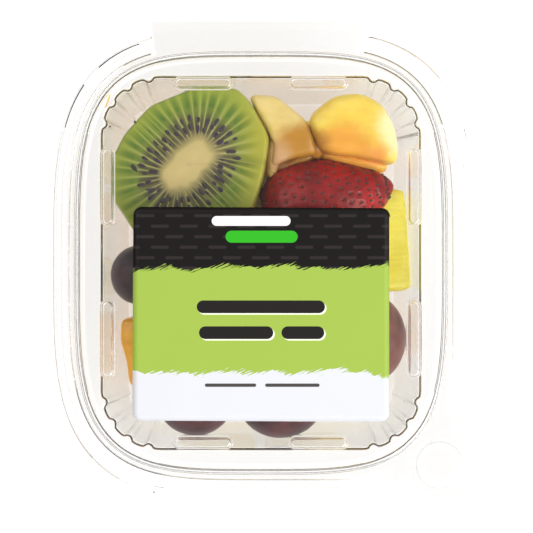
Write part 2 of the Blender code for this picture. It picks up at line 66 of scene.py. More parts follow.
camera_data = bpy.data.cameras.new("camera")
camera_data.sensor_width = SENSOR_MM
camera_data.lens = SENSOR_MM * CAMERA_RISE / FRAME_WIDTH
camera = bpy.data.objects.new("camera", camera_data)
camera.location = (*FRAME_CENTRE, FLANGE_Z + CAMERA_RISE)
bpy.context.scene.collection.objects.link(camera)
bpy.context.scene.camera = camera
print("lens, mm:", round(camera_data.lens, 1))

# %% [markdown]
# ## One function for nodes
# Every material below is a tree of nodes. One small function adds a node, sets its options, and
# fills its inputs with values or with links from other nodes. Colours are written as the sRGB
# hex values that a paint program shows, and a second function turns them to the linear values
# that a shader works in.


# %% Add a node, and read a colour
def add_node(tree, kind, inputs=None, stops=None, **options):
    """Adds a node. An input is a value, or an output socket of another node."""
    made = tree.nodes.new(kind)
    for name, value in options.items():
        setattr(made, name, value)
    for key, value in (inputs or {}).items():
        if isinstance(value, bpy.types.NodeSocket):
            tree.links.new(value, made.inputs[key])
        else:
            made.inputs[key].default_value = value
    if stops:
        while len(made.color_ramp.elements) < len(stops):
            made.color_ramp.elements.new(1.0)
        for element, (position, colour) in zip(made.color_ramp.elements, stops):
            element.position, element.color = position, colour
    return made


def hex_colour(text):
    """An sRGB hex value as a linear colour."""
    parts = [int(text[i : i + 2], 16) / 255 for i in (1, 3, 5)]
    return (*(p / 12.92 if p <= 0.04045 else ((p + 0.055) / 1.055) ** 2.4 for p in parts), 1.0)


def new_material(name):
    """A material whose tree holds only its output."""
    made = bpy.data.materials.new(name)
    made.use_nodes = True
    made.node_tree.nodes.clear()
    return made, made.node_tree, made.node_tree.nodes.new("ShaderNodeOutputMaterial")


# %% [markdown]
# ## Floor and studio light
# Food packs are lit by large soft boxes over a white sweep, so that the clear plastic is drawn by
# its edges. The strongest box stands at the right and in front, where the photograph has its
# highlights, and a weaker one fills from behind on the left. The table is a light table, an opal
# sheet lit from below, which takes the shadow away and shines through the tray. The world is a
# white tent, greyer and warmer near the horizon and on the side away from the boxes: a steep
# clear wall bends the sight line outwards, so it shows that tone and draws itself as a thin
# line. Straight above, a tent has a dark opening for the camera. Flat glossy faces mirror that
# opening, which keeps the fruit and the print deep in colour.

# %% Floor, soft boxes and sky
FLOOR_SIZE = 4.0
FLOOR_DROP = 0.2 * MM  # below the tray, so that the two faces stay apart
KEY_LIGHT = {"at": (0.75, -0.45, 0.80), "size": 0.8, "power": 10.2}
FILL_LIGHT = {"at": (-0.60, 0.55, 0.90), "size": 1.0, "power": 4.4}
TABLE_GLOW = 0.88  # light that the opal sheet sends up
SKY = (  # share of the way from horizon to zenith, and the tent's colour there
    (0.0, (0.44, 0.38, 0.31)),
    (0.35, (0.74, 0.70, 0.65)),
    (0.75, (0.84, 0.83, 0.82)),
    (0.955, (0.84, 0.84, 0.84)),
    (0.985, (0.20, 0.20, 0.20)),
)
BRIGHT_SIDE = (0.80, -0.60, 0.0)  # the tent is brighter towards the right and the front
DARK_SIDE_TONE = (0.50, 0.45, 0.40, 1.0)

floor_paint, tree, out = new_material("opal_light_table")
shader = add_node(
    tree,
    "ShaderNodeBsdfPrincipled",
    {
        "Base Color": hex_colour("#86868A"),
        "Roughness": 0.9,
        "Specular IOR Level": 0.1,
        "Emission Color": (1.0, 1.0, 1.0, 1.0),
        "Emission Strength": TABLE_GLOW,
    },
)
tree.links.new(shader.outputs[0], out.inputs["Surface"])
bpy.ops.object.select_all(action="DESELECT")
bpy.ops.mesh.primitive_plane_add(size=FLOOR_SIZE, location=(0, 0, -FLOOR_DROP))
floor = bpy.context.object
floor.name = "floor"
floor.data.materials.append(floor_paint)

for name, light in (("key", KEY_LIGHT), ("fill", FILL_LIGHT)):
    data = bpy.data.lights.new(name, "AREA")
    data.shape, data.size, data.energy = "SQUARE", light["size"], light["power"]
    lamp = bpy.data.objects.new(name, data)
    lamp.location = light["at"]
    lamp.rotation_euler = (-Vector(light["at"])).to_track_quat("-Z", "Y").to_euler()
    bpy.context.scene.collection.objects.link(lamp)

world = bpy.data.worlds.new("studio")
bpy.context.scene.world = world
world.use_nodes = True
tree = world.node_tree
tree.nodes.clear()
where = add_node(tree, "ShaderNodeTexCoord")
height = add_node(tree, "ShaderNodeSeparateXYZ", {0: where.outputs["Generated"]})
tent = add_node(
    tree,
    "ShaderNodeValToRGB",
    {"Fac": height.outputs["Z"]},
    stops=[(place, (*tone, 1.0)) for place, tone in SKY],
)
lean = add_node(
    tree, "ShaderNodeVectorMath", {0: where.outputs["Generated"], 1: BRIGHT_SIDE}, operation="DOT_PRODUCT"
)
lit_side = add_node(
    tree, "ShaderNodeMapRange", {"Value": lean.outputs["Value"], "From Min": -0.9, "From Max": 0.1}
)
side_tone = add_node(
    tree,
    "ShaderNodeMix",
    {"Factor": lit_side.outputs[0], "A": DARK_SIDE_TONE, "B": (1.0, 1.0, 1.0, 1.0)},
    data_type="RGBA",
)
lit_tent = add_node(
    tree,
    "ShaderNodeMix",
    {"Factor": 1.0, "A": tent.outputs[0], "B": side_tone.outputs["Result"]},
    data_type="RGBA",
    blend_type="MULTIPLY",
)
sky = add_node(tree, "ShaderNodeBackground", {"Color": lit_tent.outputs["Result"], "Strength": 1.0})
add_node(tree, "ShaderNodeOutputWorld", {"Surface": sky.outputs[0]})
bpy.context.scene.view_settings.view_transform = "Standard"

# %% [markdown]
# ## Rings, the way to model a formed sheet
# A formed pack is a stack of outlines: flange, bead, wall, ledge, floor. By hand each one is
# extruded from the last and scaled. Here an edge loop is extruded in place, and its new vertices
# are then moved to an outline worked out from the sizes. That keeps the vertices of all
# outlines in step, so a fluted wall can run into a plain one without a twist.


# %% Helpers for edit mode
def deselect_all():
    """Leaves edit mode and deselects every object."""
    if bpy.context.mode != "OBJECT":
        bpy.ops.object.mode_set(mode="OBJECT")
    bpy.ops.object.select_all(action="DESELECT")


def edited():
    """The mesh that is open in edit mode, ready to look up its vertices."""
    bm = bmesh.from_edit_mesh(bpy.context.object.data)
    bm.verts.ensure_lookup_table()
    return bm


def select_verts(indices):
    """Selects these vertices and the edges and faces between them, and nothing else."""
    bpy.ops.mesh.select_all(action="DESELECT")
    bm = edited()
    for index in indices:
        bm.verts[index].select = True
    bm.select_flush_mode()
    bmesh.update_edit_mesh(bpy.context.object.data)


def add_ring(places):
    """Adds a circle to the mesh in edit mode, with a vertex for each place, and moves them there."""
    bpy.ops.mesh.select_all(action="DESELECT")
    bpy.ops.mesh.primitive_circle_add(vertices=len(places), fill_type="NOTHING")
    bm = edited()
    ring = [v.index for v in bm.verts if v.select]
    for index, place in zip(ring, places):
        bm.verts[index].co = place
    bmesh.update_edit_mesh(bpy.context.object.data)
    return ring


def extrude_ring(ring, places):
    """Extrudes an edge loop, moves each new vertex to its place, and returns the new loop."""
    select_verts(ring)
    order = {tuple(edited().verts[index].co): k for k, index in enumerate(ring)}
    bpy.ops.mesh.extrude_region_move()
    bm = edited()
    made = [None] * len(ring)
    for vert in bm.verts:
        if vert.select:
            k = order[tuple(vert.co)]
            vert.co = places[k]
            made[k] = vert.index
    bmesh.update_edit_mesh(bpy.context.object.data)
    return made


def cap(ring):
    """Closes a loop with one flat face."""
    select_verts(ring)
    bpy.ops.mesh.edge_face_add()


def fill_between(*rings):
    """Fills the flat sheet between an outline and the loops inside it."""
    select_verts([index for ring in rings for index in ring])
    bpy.ops.mesh.fill(use_beauty=True)


def start_piece(name):
    """A new empty mesh object, open in edit mode at the origin."""
    deselect_all()
    bpy.ops.mesh.primitive_plane_add(size=MM, location=(0, 0, 0))
    piece = bpy.context.object
    piece.name = piece.data.name = name
    bpy.ops.object.mode_set(mode="EDIT")
    bpy.ops.mesh.delete(type="VERT")
    return piece


def leave_edit(sharp_angle=None):
    """Points the faces outwards, leaves edit mode and shades smooth, or only below an angle in degrees."""
    bpy.ops.mesh.select_all(action="SELECT")
    bpy.ops.mesh.normals_make_consistent(inside=False)
    bpy.ops.object.mode_set(mode="OBJECT")
    if sharp_angle:
        bpy.ops.object.shade_smooth_by_angle(angle=math.radians(sharp_angle))
    else:
        bpy.ops.object.shade_smooth()


def modify(piece, kind, **settings):
    """Adds a modifier, sets it and applies it."""
    bpy.ops.object.modifier_add(type=kind)
    modifier = piece.modifiers[-1]
    for name, value in settings.items():
        setattr(modifier, name, value)
    bpy.ops.object.modifier_apply(modifier=modifier.name)


def dress(piece, material, body, slot, *nodes):
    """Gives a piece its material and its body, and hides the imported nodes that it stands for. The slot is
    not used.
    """
    piece.data.materials.clear()
    piece.data.materials.append(material)
    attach(piece, body)
    if nodes:
        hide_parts(*nodes)


# %% [markdown]
# ## Outlines seen from above
# Three families of outlines make the whole pack. The dome and the upper wall follow a
# superellipse. The tapered wall and the floor are rectangles with round corners. The flange
# squares off at one corner for the lift tab. Each is written as a function that is negative
# inside, and every outline is read along the same fan of rays, so their vertices stay in step.

# %% The rays and the oval
OVAL_HALF = (49.9 * MM, 56.6 * MM)
OVAL_POWER = 3.8
WELL_HALF, WELL_RADIUS = (43.5 * MM, 50.8 * MM), 16 * MM
FLOOR_HALF, FLOOR_RADIUS = (37.0 * MM, 44.5 * MM), 9.5 * MM
CORNER_RAYS, SIDE_RAYS = 72, 14
REACH, HALVINGS = 80 * MM, 34
CORNER_SIGNS = ((1, 1), (-1, 1), (-1, -1), (1, -1))  # anticlockwise from the back right


def direction(angle):
    return Vector((math.cos(angle), math.sin(angle)))


def oval_level(point):
    across, along = (abs(value) / half for value, half in zip(point, OVAL_HALF))
    return across**OVAL_POWER + along**OVAL_POWER - 1


def box_level(half, radius):
    def level(point):
        beyond = [max(abs(v) - (h - radius), 0) for v, h in zip(point, half)]
        return math.hypot(*beyond) - radius

    return level


def make_rays():
    """Start and angle of each ray: a fan at each corner, and evenly along each side."""
    inset = [half - WELL_RADIUS for half in WELL_HALF]
    corners = [Vector((sx * inset[0], sy * inset[1])) for sx, sy in CORNER_SIGNS]
    rays = []
    for turn, corner in enumerate(corners):
        start = turn * math.pi / 2
        rays += [(corner, start + math.pi / 2 * k / CORNER_RAYS) for k in range(CORNER_RAYS + 1)]
        following = corners[(turn + 1) % 4]
        for k in range(1, SIDE_RAYS):
            rays.append((corner.lerp(following, k / SIDE_RAYS), start + math.pi / 2))
    return rays


RAYS = make_rays()


def reach(ray, level):
    """Where a ray leaves an outline, found by halving."""
    start, angle = ray
    ahead = direction(angle)
    near, far = 0.0, REACH
    for _ in range(HALVINGS):
        middle = (near + far) / 2
        if level(start + ahead * middle) < 0:
            near = middle
        else:
            far = middle
    return start + ahead * near


OVAL_POINTS = [reach(ray, oval_level) for ray in RAYS]


def oval_ring(offset):
    """The oval moved outwards everywhere by the same distance."""
    ring = []
    for point in OVAL_POINTS:
        slope = []
        for value, half in zip(point, OVAL_HALF):
            slope.append(math.copysign(abs(value) ** (OVAL_POWER - 1), value) / half**OVAL_POWER)
        ring.append(point + Vector(slope).normalized() * offset)
    return ring


print("rays:", len(RAYS))

# %% The squared corner, the tab and the hinge strip
SQUARE_RADIUS = 6 * MM
STRIP_X = (-29.7 * MM, 27.4 * MM)
FOLD_Y = 65.3 * MM


def in_tab_corner(ray):
    return ray[0].x > 0 > ray[0].y and ray[1] > 1.5 * math.pi - 0.01


def with_tab(ring, level):
    """The outline pushed out to a second one at the tab's corner, where that reaches further."""
    pushed = []
    for ray, point in zip(RAYS, ring):
        if in_tab_corner(ray):
            other = reach(ray, level)
            if (other - ray[0]).length > (point - ray[0]).length:
                point = other
        pushed.append(point)
    return pushed


def rim_ring(offset):
    """An outline beyond the oval, with a squarer corner at the tab."""
    half = [value + offset for value in OVAL_HALF]
    return with_tab(oval_ring(offset), box_level(half, SQUARE_RADIUS + offset))


def with_strip(ring, fold_y):
    """The outline with the hinge strip's corners in place of the points behind it."""
    low, high = STRIP_X
    first = next(k for k, p in enumerate(ring) if p.x < high)
    last = next(k for k, p in enumerate(ring) if p.x <= low)
    corners = [(high, ring[first - 1].y), (high, fold_y), (low, fold_y), (low, ring[last].y)]
    return ring[:first] + [Vector(corner) for corner in corners] + ring[last:]


def raised(ring, height):
    """The outline in space, at one height or at a height for each point."""
    heights = height if isinstance(height, list) else [height] * len(ring)
    return [Vector((p.x, p.y, z)) for p, z in zip(ring, heights)]


# %% [markdown]
# ## The tray
# From the edge inwards the sheet runs along a flat flange, over a bead, across a narrow land,
# down the upper wall to a ledge, and down the tapered wall to the floor. Four flutes stiffen
# each corner of that wall and fade out towards the floor. A thermoformed sheet has no sharp
# fold. A Bevel modifier would round the creases, but it tears where the bead runs out and its
# edges lie flat. So each crease is drawn as a few rings on a small curve, and Solidify then
# gives the sheet its 0.5 mm.

# %% Sizes of the tray
SHEET = 0.5 * MM
FLOOR_Z = SHEET / 2
LEDGE_Z = 34.0 * MM
RIM_Z = 39.6 * MM
LAND_OFFSET, LEDGE_OFFSET = 0.3 * MM, -0.6 * MM
FLUTES, FLUTE_DEPTH, FLUTE_FOOT = 4, 1.1 * MM, 0.5 * MM
FLUTE_BULGE = 0.35  # share of a bulge's roundness against the rib's broad crest
FOOT_CHAMFER = 1.3 * MM
BEAD_OFFSETS = (5.8 * MM, 5.2 * MM, 4.1 * MM, 3.4 * MM)
BEAD_HEIGHT = 1.3 * MM
BEAD_GAP_HINGE = (-31.5 * MM, 30.0 * MM)
BEAD_GAP_TAB = (37.2 * MM, -43.2 * MM)
BEAD_RUN_OUT = 1.6 * MM
FLANGE_OFFSET = 6.85 * MM
FLANGE_SHIFT = Vector((0.7 * MM, -0.6 * MM))
FLANGE_TAB_HALF, FLANGE_TAB_RADIUS = (58.0 * MM, 65.4 * MM), 9 * MM
STRIP_CLEARANCE = 0.2 * MM
CREASE_STEPS = 3


def rounded(profile):
    """The profile's outlines, with each crease drawn as the outlines of a small curve."""
    rings = []
    for k, (ring, width) in enumerate(profile):
        if not width:
            rings.append(ring)
            continue
        before, after = profile[k - 1][0], profile[k + 1][0]
        steps = [[] for _ in range(CREASE_STEPS + 1)]
        for corner, back, ahead in zip(ring, before, after):
            start = corner.lerp(back, min(width / max((back - corner).length, MM / 100), 0.45))
            end = corner.lerp(ahead, min(width / max((ahead - corner).length, MM / 100), 0.45))
            for k_step, places in enumerate(steps):
                t = k_step / CREASE_STEPS
                places.append(start * (1 - t) ** 2 + corner * (2 * t * (1 - t)) + end * t**2)
        rings += steps
    return rings


def extrude_profile(profile):
    """Adds the first outline and extrudes it through the others. Returns the first and last loops."""
    outlines = rounded(profile)
    first = ring = add_ring(outlines[0])
    for places in outlines[1:]:
        ring = extrude_ring(ring, places)
    return first, ring


def bead_heights(ring, height):
    """The bead's height at each point, which runs out at the hinge and at the tab."""
    heights = []
    for p in ring:
        to_hinge = max(BEAD_GAP_HINGE[0] - p.x, p.x - BEAD_GAP_HINGE[1], -p.y)
        to_tab = max(BEAD_GAP_TAB[0] - p.x, p.y - BEAD_GAP_TAB[1])
        share = min(max(min(to_hinge, to_tab) / BEAD_RUN_OUT, 0), 1)
        heights.append(RIM_Z + height * share * share * (3 - 2 * share))
    return heights


def well_ring(half, radius, depth):
    """An outline of the tapered wall, its corners in bulges that meet at ribs this deep."""
    ring = []
    for ray in RAYS:
        turn = math.pi * FLUTES * (ray[1] % (math.pi / 2) / (math.pi / 2))
        crest = max(-math.cos(2 * turn), 0)
        wave = FLUTE_BULGE * (1 - abs(math.cos(turn))) + (1 - FLUTE_BULGE) * crest**2 * (3 - 2 * crest)
        ring.append(reach(ray, box_level(half, radius)) - direction(ray[1]) * depth * wave)
    return ring


def finish_sheet(piece):
    """Gives the sheet its thickness and evens the shading."""
    leave_edit()
    modify(piece, "SOLIDIFY", thickness=SHEET, offset=0)
    modify(piece, "WEIGHTED_NORMAL", keep_sharp=False, weight=60)
    print(piece.name, "faces:", len(piece.data.polygons))


# %% Model the tray
tray = start_piece("clear_tray")
flange = with_tab(
    [p + FLANGE_SHIFT for p in oval_ring(FLANGE_OFFSET)], box_level(FLANGE_TAB_HALF, FLANGE_TAB_RADIUS)
)
edge = add_ring(raised(with_strip(flange, FOLD_Y - STRIP_CLEARANCE), RIM_Z))
outer_foot, outer_top, inner_top, inner_foot = (rim_ring(offset) for offset in BEAD_OFFSETS)
foot_half = [half + FOOT_CHAMFER / 2 for half in FLOOR_HALF]
floor_half = [half - FOOT_CHAMFER / 2 for half in FLOOR_HALF]
flat_half = [half - 2 * FOOT_CHAMFER for half in FLOOR_HALF]
profile = (  # outline in space, width of the rounded crease
    (raised(outer_foot, RIM_Z), 0),
    (raised(outer_top, bead_heights(outer_top, BEAD_HEIGHT)), 0.5 * MM),
    (raised(inner_top, bead_heights(inner_top, BEAD_HEIGHT)), 0.5 * MM),
    (raised(inner_foot, RIM_Z), 0.6 * MM),
    (raised(oval_ring(LAND_OFFSET), RIM_Z), 0.9 * MM),
    (raised(oval_ring(LEDGE_OFFSET), LEDGE_Z), 0.9 * MM),
    (raised(well_ring(WELL_HALF, WELL_RADIUS, FLUTE_DEPTH), LEDGE_Z), 0.8 * MM),
    (raised(well_ring(foot_half, FLOOR_RADIUS, FLUTE_FOOT), FLOOR_Z + FOOT_CHAMFER), 0.7 * MM),
    (raised(well_ring(floor_half, FLOOR_RADIUS, 0), FLOOR_Z), 0.5 * MM),
    (raised(well_ring(flat_half, FLOOR_RADIUS, 0), FLOOR_Z), 0),
)
bead_edge, ring = extrude_profile(profile)
cap(ring)
fill_between(edge, bead_edge)
finish_sheet(tray)

# %% [markdown]
# ## The lid
# The lid is the same sheet: a flat rim, a low dome with a soft shoulder, and a flat panel. Eight
# long lugs stand on the panel so that the next pack stacks on it, and a round button marks the
# lift tab. A lug starts as a circle that is moved to a bar with round ends. Then it is extruded
# up and inwards, and capped.

# %% Sizes of the lid
LID_Z = RIM_Z + SHEET + 0.3 * MM
LID_EDGE_OFFSET = 2.0 * MM
TAB_HALF, TAB_RADIUS = (58.7 * MM, 66.2 * MM), 7 * MM
TAB_SWEEPS = ((math.radians(30.3), 23.97 * MM), (math.radians(231.0), 22.6 * MM))
LID_PROFILE = (  # offset from the oval, height, width of the rounded crease
    (1.1 * MM, LID_Z, 0),
    (0.2 * MM, LID_Z, 0.5 * MM),
    (-0.6 * MM, 46.3 * MM, 1.1 * MM),
    (-2.4 * MM, 47.75 * MM, 1.0 * MM),
    (-4.0 * MM, 47.75 * MM, 0),
)
PANEL_Z = LID_PROFILE[-1][1]
BUTTON_CENTRE = Vector((48.2 * MM, -54.5 * MM))
BUTTON_PROFILE = (  # radius, rise, width of the rounded crease
    (7.3 * MM, 0, 0),
    (6.9 * MM, 0, 0.2 * MM),
    (6.3 * MM, 1.3 * MM, 0.3 * MM),
    (5.6 * MM, 1.3 * MM, 0.25 * MM),
    (5.0 * MM, 0.8 * MM, 0.3 * MM),
    (4.5 * MM, 0.8 * MM, 0),
)
BUTTON_SIDES = 72
LUG_RISE = 1.2 * MM
LUG_PROFILE = (  # outwards from the lug's foot, rise, width of the rounded crease
    (0.5 * MM, 0, 0),
    (0, 0, 0.35 * MM),
    (-0.6 * MM, LUG_RISE, 0.5 * MM),
    (-1.2 * MM, LUG_RISE, 0),
)
END_LUG = {"length": 15.6 * MM, "width": 3.4 * MM, "at": (15.4 * MM, 48.0 * MM), "upright": False}
SIDE_LUG = {"length": 20.8 * MM, "width": 3.6 * MM, "at": (40.9 * MM, 20.3 * MM), "upright": True}
LUG_END_SIDES = 18


def tab_level(point):
    levels = [box_level(TAB_HALF, TAB_RADIUS)(point)]
    levels += [point.x * math.cos(angle) + point.y * math.sin(angle) - far for angle, far in TAB_SWEEPS]
    return max(levels)


def bar_outline(centre, length, width, upright):
    """A bar with half-round ends, seen from above."""
    outline = []
    for end in (1, -1):
        for step in range(LUG_END_SIDES + 1):
            angle = math.pi * (step / LUG_END_SIDES - 0.5 * end)
            point = Vector((end * (length - width) / 2, 0)) + direction(angle) * width / 2
            outline.append(centre + (point.orthogonal() if upright else point))
    return outline


# %% Model the lid
lid = start_piece("clear_lid")
edge = add_ring(raised(with_strip(with_tab(rim_ring(LID_EDGE_OFFSET), tab_level), FOLD_Y), LID_Z))
dome_foot, panel_edge = extrude_profile(
    [(raised(oval_ring(offset), height), width) for offset, height, width in LID_PROFILE]
)
feet = []
for lug in (END_LUG, SIDE_LUG):
    for sx in (-1, 1):
        for sy in (-1, 1):
            centre = Vector((sx * lug["at"][0], sy * lug["at"][1]))
            profile = []
            for grow, rise, width in LUG_PROFILE:
                size = (lug["length"] + 2 * grow, lug["width"] + 2 * grow)
                outline = bar_outline(centre, *size, lug["upright"])
                profile.append((raised(outline, PANEL_Z + rise), width))
            foot, top = extrude_profile(profile)
            cap(top)
            feet.append(foot)
circle = [direction(2 * math.pi * k / BUTTON_SIDES) for k in range(BUTTON_SIDES)]
profile = []
for radius, rise, width in BUTTON_PROFILE:
    profile.append((raised([BUTTON_CENTRE + p * radius for p in circle], LID_Z + rise), width))
button_foot, top = extrude_profile(profile)
cap(top)
fill_between(panel_edge, *feet)
fill_between(edge, dome_foot, button_foot)
finish_sheet(lid)

# %% [markdown]
# ## Clear PET
# Deli packs are thermoformed from clear amorphous PET, a glossy plastic with an index of about
# 1.57 and a faint grey-green cast. To the eye it is nearly invisible where it lies flat, draws
# thin darker lines where it stands on edge, and mirrors the soft boxes on its rounded creases.
# Glass shaders cast a full shadow, so lamps and diffuse bounces are let through by a Transparent
# shader of the same tint. The sheet is drawn unevenly over its mould, which a bump of long, low
# waves stands for.

# %% Material of the pack
PET_IOR = 1.57
PET_ROUGHNESS = 0.02
DRAW_WAVES = 22 * MM
DRAW_DEPTH = 0.05 * MM

clear_pet, tree, out = new_material("thermoformed_clear_pet")
where = add_node(tree, "ShaderNodeTexCoord")
waves = add_node(
    tree, "ShaderNodeTexNoise", {"Vector": where.outputs["Object"], "Scale": 1 / DRAW_WAVES, "Detail": 1.0}
)
bump = add_node(
    tree, "ShaderNodeBump", {"Height": waves.outputs[0], "Strength": 1.0, "Distance": DRAW_DEPTH}
)
plastic = add_node(
    tree,
    "ShaderNodeBsdfPrincipled",
    {
        "Base Color": hex_colour("#FFFFFE"),
        "Roughness": PET_ROUGHNESS,
        "IOR": PET_IOR,
        "Transmission Weight": 1.0,
        "Normal": bump.outputs[0],
    },
)
let_through = add_node(tree, "ShaderNodeBsdfTransparent", {"Color": hex_colour("#FCFBF9")})
path = add_node(tree, "ShaderNodeLightPath")
soft_ray = add_node(
    tree,
    "ShaderNodeMath",
    {0: path.outputs["Is Shadow Ray"], 1: path.outputs["Is Diffuse Ray"]},
    operation="MAXIMUM",
)
mixed = add_node(
    tree, "ShaderNodeMixShader", {0: soft_ray.outputs[0], 1: plastic.outputs[0], 2: let_through.outputs[0]}
)
tree.links.new(mixed.outputs[0], out.inputs["Surface"])

dress(tray, clear_pet, "tray", "clear_plastic", "base_tray")
dress(lid, clear_pet, "cover", "clear_plastic", "lid")

# %% [markdown]
# ## The label
# The label is a die-cut sheet of coated paper, stuck on the lid's panel, with small round corners.
# A plane would stay perfectly flat, but stuck paper follows the panel with faint cockles. So its
# outline is filled with one face, cut into a grid by bisecting, and each crossing is raised or
# lowered by a slow noise before Solidify makes the paper's thickness.

# %% Model the label
LABEL_SIZE = (68.5 * MM, 57.0 * MM)
LABEL_CENTRE = Vector((0.1 * MM, -13.7 * MM))
LABEL_TURN = math.radians(-0.3)
LABEL_CORNER, LABEL_CORNER_SIDES = 2.3 * MM, 10
LABEL_THICKNESS = 0.3 * MM
LABEL_Z = PANEL_Z + SHEET / 2 + 0.3 * MM + LABEL_THICKNESS / 2
LABEL_CELL = 1.6 * MM
COCKLE_WIDTH, COCKLE_RISE = 11 * MM, 0.10 * MM


def round_box_outline(size, radius, corner_sides):
    outline = []
    for turn, (sx, sy) in enumerate(CORNER_SIGNS):
        corner = Vector((sx * (size[0] / 2 - radius), sy * (size[1] / 2 - radius)))
        for step in range(corner_sides + 1):
            outline.append(corner + direction(math.pi / 2 * (turn + step / corner_sides)) * radius)
    return outline


label = start_piece("paper_label")
outline = round_box_outline(LABEL_SIZE, LABEL_CORNER, LABEL_CORNER_SIDES)
for place in outline:
    place.rotate(Matrix.Rotation(LABEL_TURN, 2))
cap(add_ring(raised([LABEL_CENTRE + place for place in outline], LABEL_Z)))
for axis in (0, 1):
    across = Vector((axis == 0, axis == 1, 0))
    cells = round(LABEL_SIZE[axis] / LABEL_CELL)
    for k in range(1, cells):
        cut = LABEL_CENTRE[axis] + LABEL_SIZE[axis] * (k / cells - 0.5)
        bpy.ops.mesh.select_all(action="SELECT")
        bpy.ops.mesh.bisect(plane_co=across * cut, plane_no=across)
for vert in edited().verts:
    vert.co.z += COCKLE_RISE * noise.noise(vert.co / COCKLE_WIDTH)
bpy.ops.object.mode_set(mode="OBJECT")
bpy.ops.object.shade_smooth()
modify(label, "SOLIDIFY", thickness=LABEL_THICKNESS, offset=0)
print("label faces:", len(label.data.polygons))

# %% [markdown]
# ## Printed paper
# The print is four-colour litho on coated paper: fields of near-black, spring green and cool
# white that meet in dry brush strokes, with plain rounded bars where a pack has its lines of
# text. The back, seen when the lid is open, is plain. Coated paper has a soft sheen and a faint
# tooth. A field's edge is a height in millimetres, and a noise stretched a dozen times along the
# stroke pushes it up and down, which leaves long bristle marks. A bar is the distance to a short
# line, cut off at its radius.

# %% Fields and bars of the print
INK_BLACK, INK_GREEN, PAPER_WHITE = hex_colour("#0C0808"), hex_colour("#A0BD4E"), hex_colour("#DEE1E8")
INK_FAINT = hex_colour("#2A2424")
PAPER_BACK = hex_colour("#DAD9D2")
FIELD_EDGES = ((-1.2 * MM, 3.0), (-29.2 * MM, 11.0))  # height of each edge, and where its noise is read
STROKE_WANDER, STROKE_SPAN = 2.6 * MM, 13 * MM
BRISTLE_LENGTH, BRISTLE_WIDTH, BRISTLE_REACH = 4.5 * MM, 0.36 * MM, 3.6 * MM
STROKE_SLOPE = math.radians(24)
PATCHES_PER_SPAN = 2.2  # wet and dry places of the brush
EDGE_BLUR, BAR_BLUR = 0.04 * MM, 0.03 * MM
BARS = (  # centre, half length of its line, radius and colour
    ((-2.6 * MM, 11.2 * MM), 9.2 * MM, 1.3 * MM, "#F1F2F4"),
    ((0.2 * MM, 7.0 * MM), 8.0 * MM, 1.6 * MM, "#2FB51F"),
    ((0.4 * MM, -12.1 * MM), 15.4 * MM, 1.7 * MM, "#F2F6E4"),
    ((-6.2 * MM, -19.0 * MM), 8.2 * MM, 1.7 * MM, "#F2F6E4"),
    ((11.6 * MM, -19.0 * MM), 4.0 * MM, 1.7 * MM, "#F2F6E4"),
    ((0.0 * MM, -11.7 * MM), 15.4 * MM, 1.7 * MM, "#1C1819"),
    ((-6.6 * MM, -18.6 * MM), 8.2 * MM, 1.7 * MM, "#1C1819"),
    ((11.2 * MM, -18.6 * MM), 4.0 * MM, 1.7 * MM, "#1C1819"),
    ((-8.1 * MM, -32.6 * MM), 6.4 * MM, 0.45 * MM, "#4A4647"),
    ((8.4 * MM, -32.6 * MM), 6.8 * MM, 0.45 * MM, "#4A4647"),
)
DASH_STEP, DASH_ROW = 7.7 * MM, 2.8 * MM
DASH_HALF, DASH_RADIUS = 2.0 * MM, 0.42 * MM

printed_paper, tree, out = new_material("coated_litho_paper")
where = add_node(tree, "ShaderNodeTexCoord").outputs["Object"]
axes = add_node(tree, "ShaderNodeSeparateXYZ", {0: where})
along, up = axes.outputs["X"], axes.outputs["Y"]


def edge_mask(height, place):
    """1 above a field's ragged edge and 0 below it."""
    run = add_node(
        tree, "ShaderNodeMath", {0: along, 1: 1 / STROKE_SPAN, 2: place}, operation="MULTIPLY_ADD"
    )
    wander = add_node(
        tree,
        "ShaderNodeTexNoise",
        {"W": run.outputs[0], "Scale": 1.0, "Detail": 2.0},
        noise_dimensions="1D",
    )
    turned = add_node(
        tree,
        "ShaderNodeMapping",
        {
            "Vector": where,
            "Location": (place * MM, 0, 0),
            "Rotation": (0, 0, STROKE_SLOPE),
            "Scale": (BRISTLE_LENGTH, BRISTLE_WIDTH, 1),
        },
        vector_type="TEXTURE",
    )
    bristles = add_node(
        tree,
        "ShaderNodeTexNoise",
        {"Vector": turned.outputs[0], "Scale": 1.0, "Detail": 2.0, "Roughness": 0.6},
    )
    run = add_node(
        tree,
        "ShaderNodeMath",
        {0: along, 1: PATCHES_PER_SPAN / STROKE_SPAN, 2: 2 * place},
        operation="MULTIPLY_ADD",
    )
    patches = add_node(
        tree, "ShaderNodeTexNoise", {"W": run.outputs[0], "Scale": 1.0}, noise_dimensions="1D"
    )
    dryness = add_node(
        tree,
        "ShaderNodeMapRange",
        {"Value": patches.outputs[0], "From Min": 0.35, "From Max": 0.65, "To Min": 0.15},
    )
    swing = add_node(tree, "ShaderNodeMath", {0: wander.outputs[0], 1: 0.5}, operation="SUBTRACT")
    strand = add_node(tree, "ShaderNodeMath", {0: bristles.outputs[0], 1: 0.5}, operation="SUBTRACT")
    strand = add_node(
        tree, "ShaderNodeMath", {0: strand.outputs[0], 1: dryness.outputs[0]}, operation="MULTIPLY"
    )
    moved = add_node(
        tree, "ShaderNodeMath", {0: swing.outputs[0], 1: 2 * STROKE_WANDER, 2: up}, operation="MULTIPLY_ADD"
    )
    moved = add_node(
        tree,
        "ShaderNodeMath",
        {0: strand.outputs[0], 1: 2 * BRISTLE_REACH, 2: moved.outputs[0]},
        operation="MULTIPLY_ADD",
    )
    return add_node(
        tree,
        "ShaderNodeMapRange",
        {"Value": moved.outputs[0], "From Min": height - EDGE_BLUR, "From Max": height + EDGE_BLUR},
    ).outputs[0]


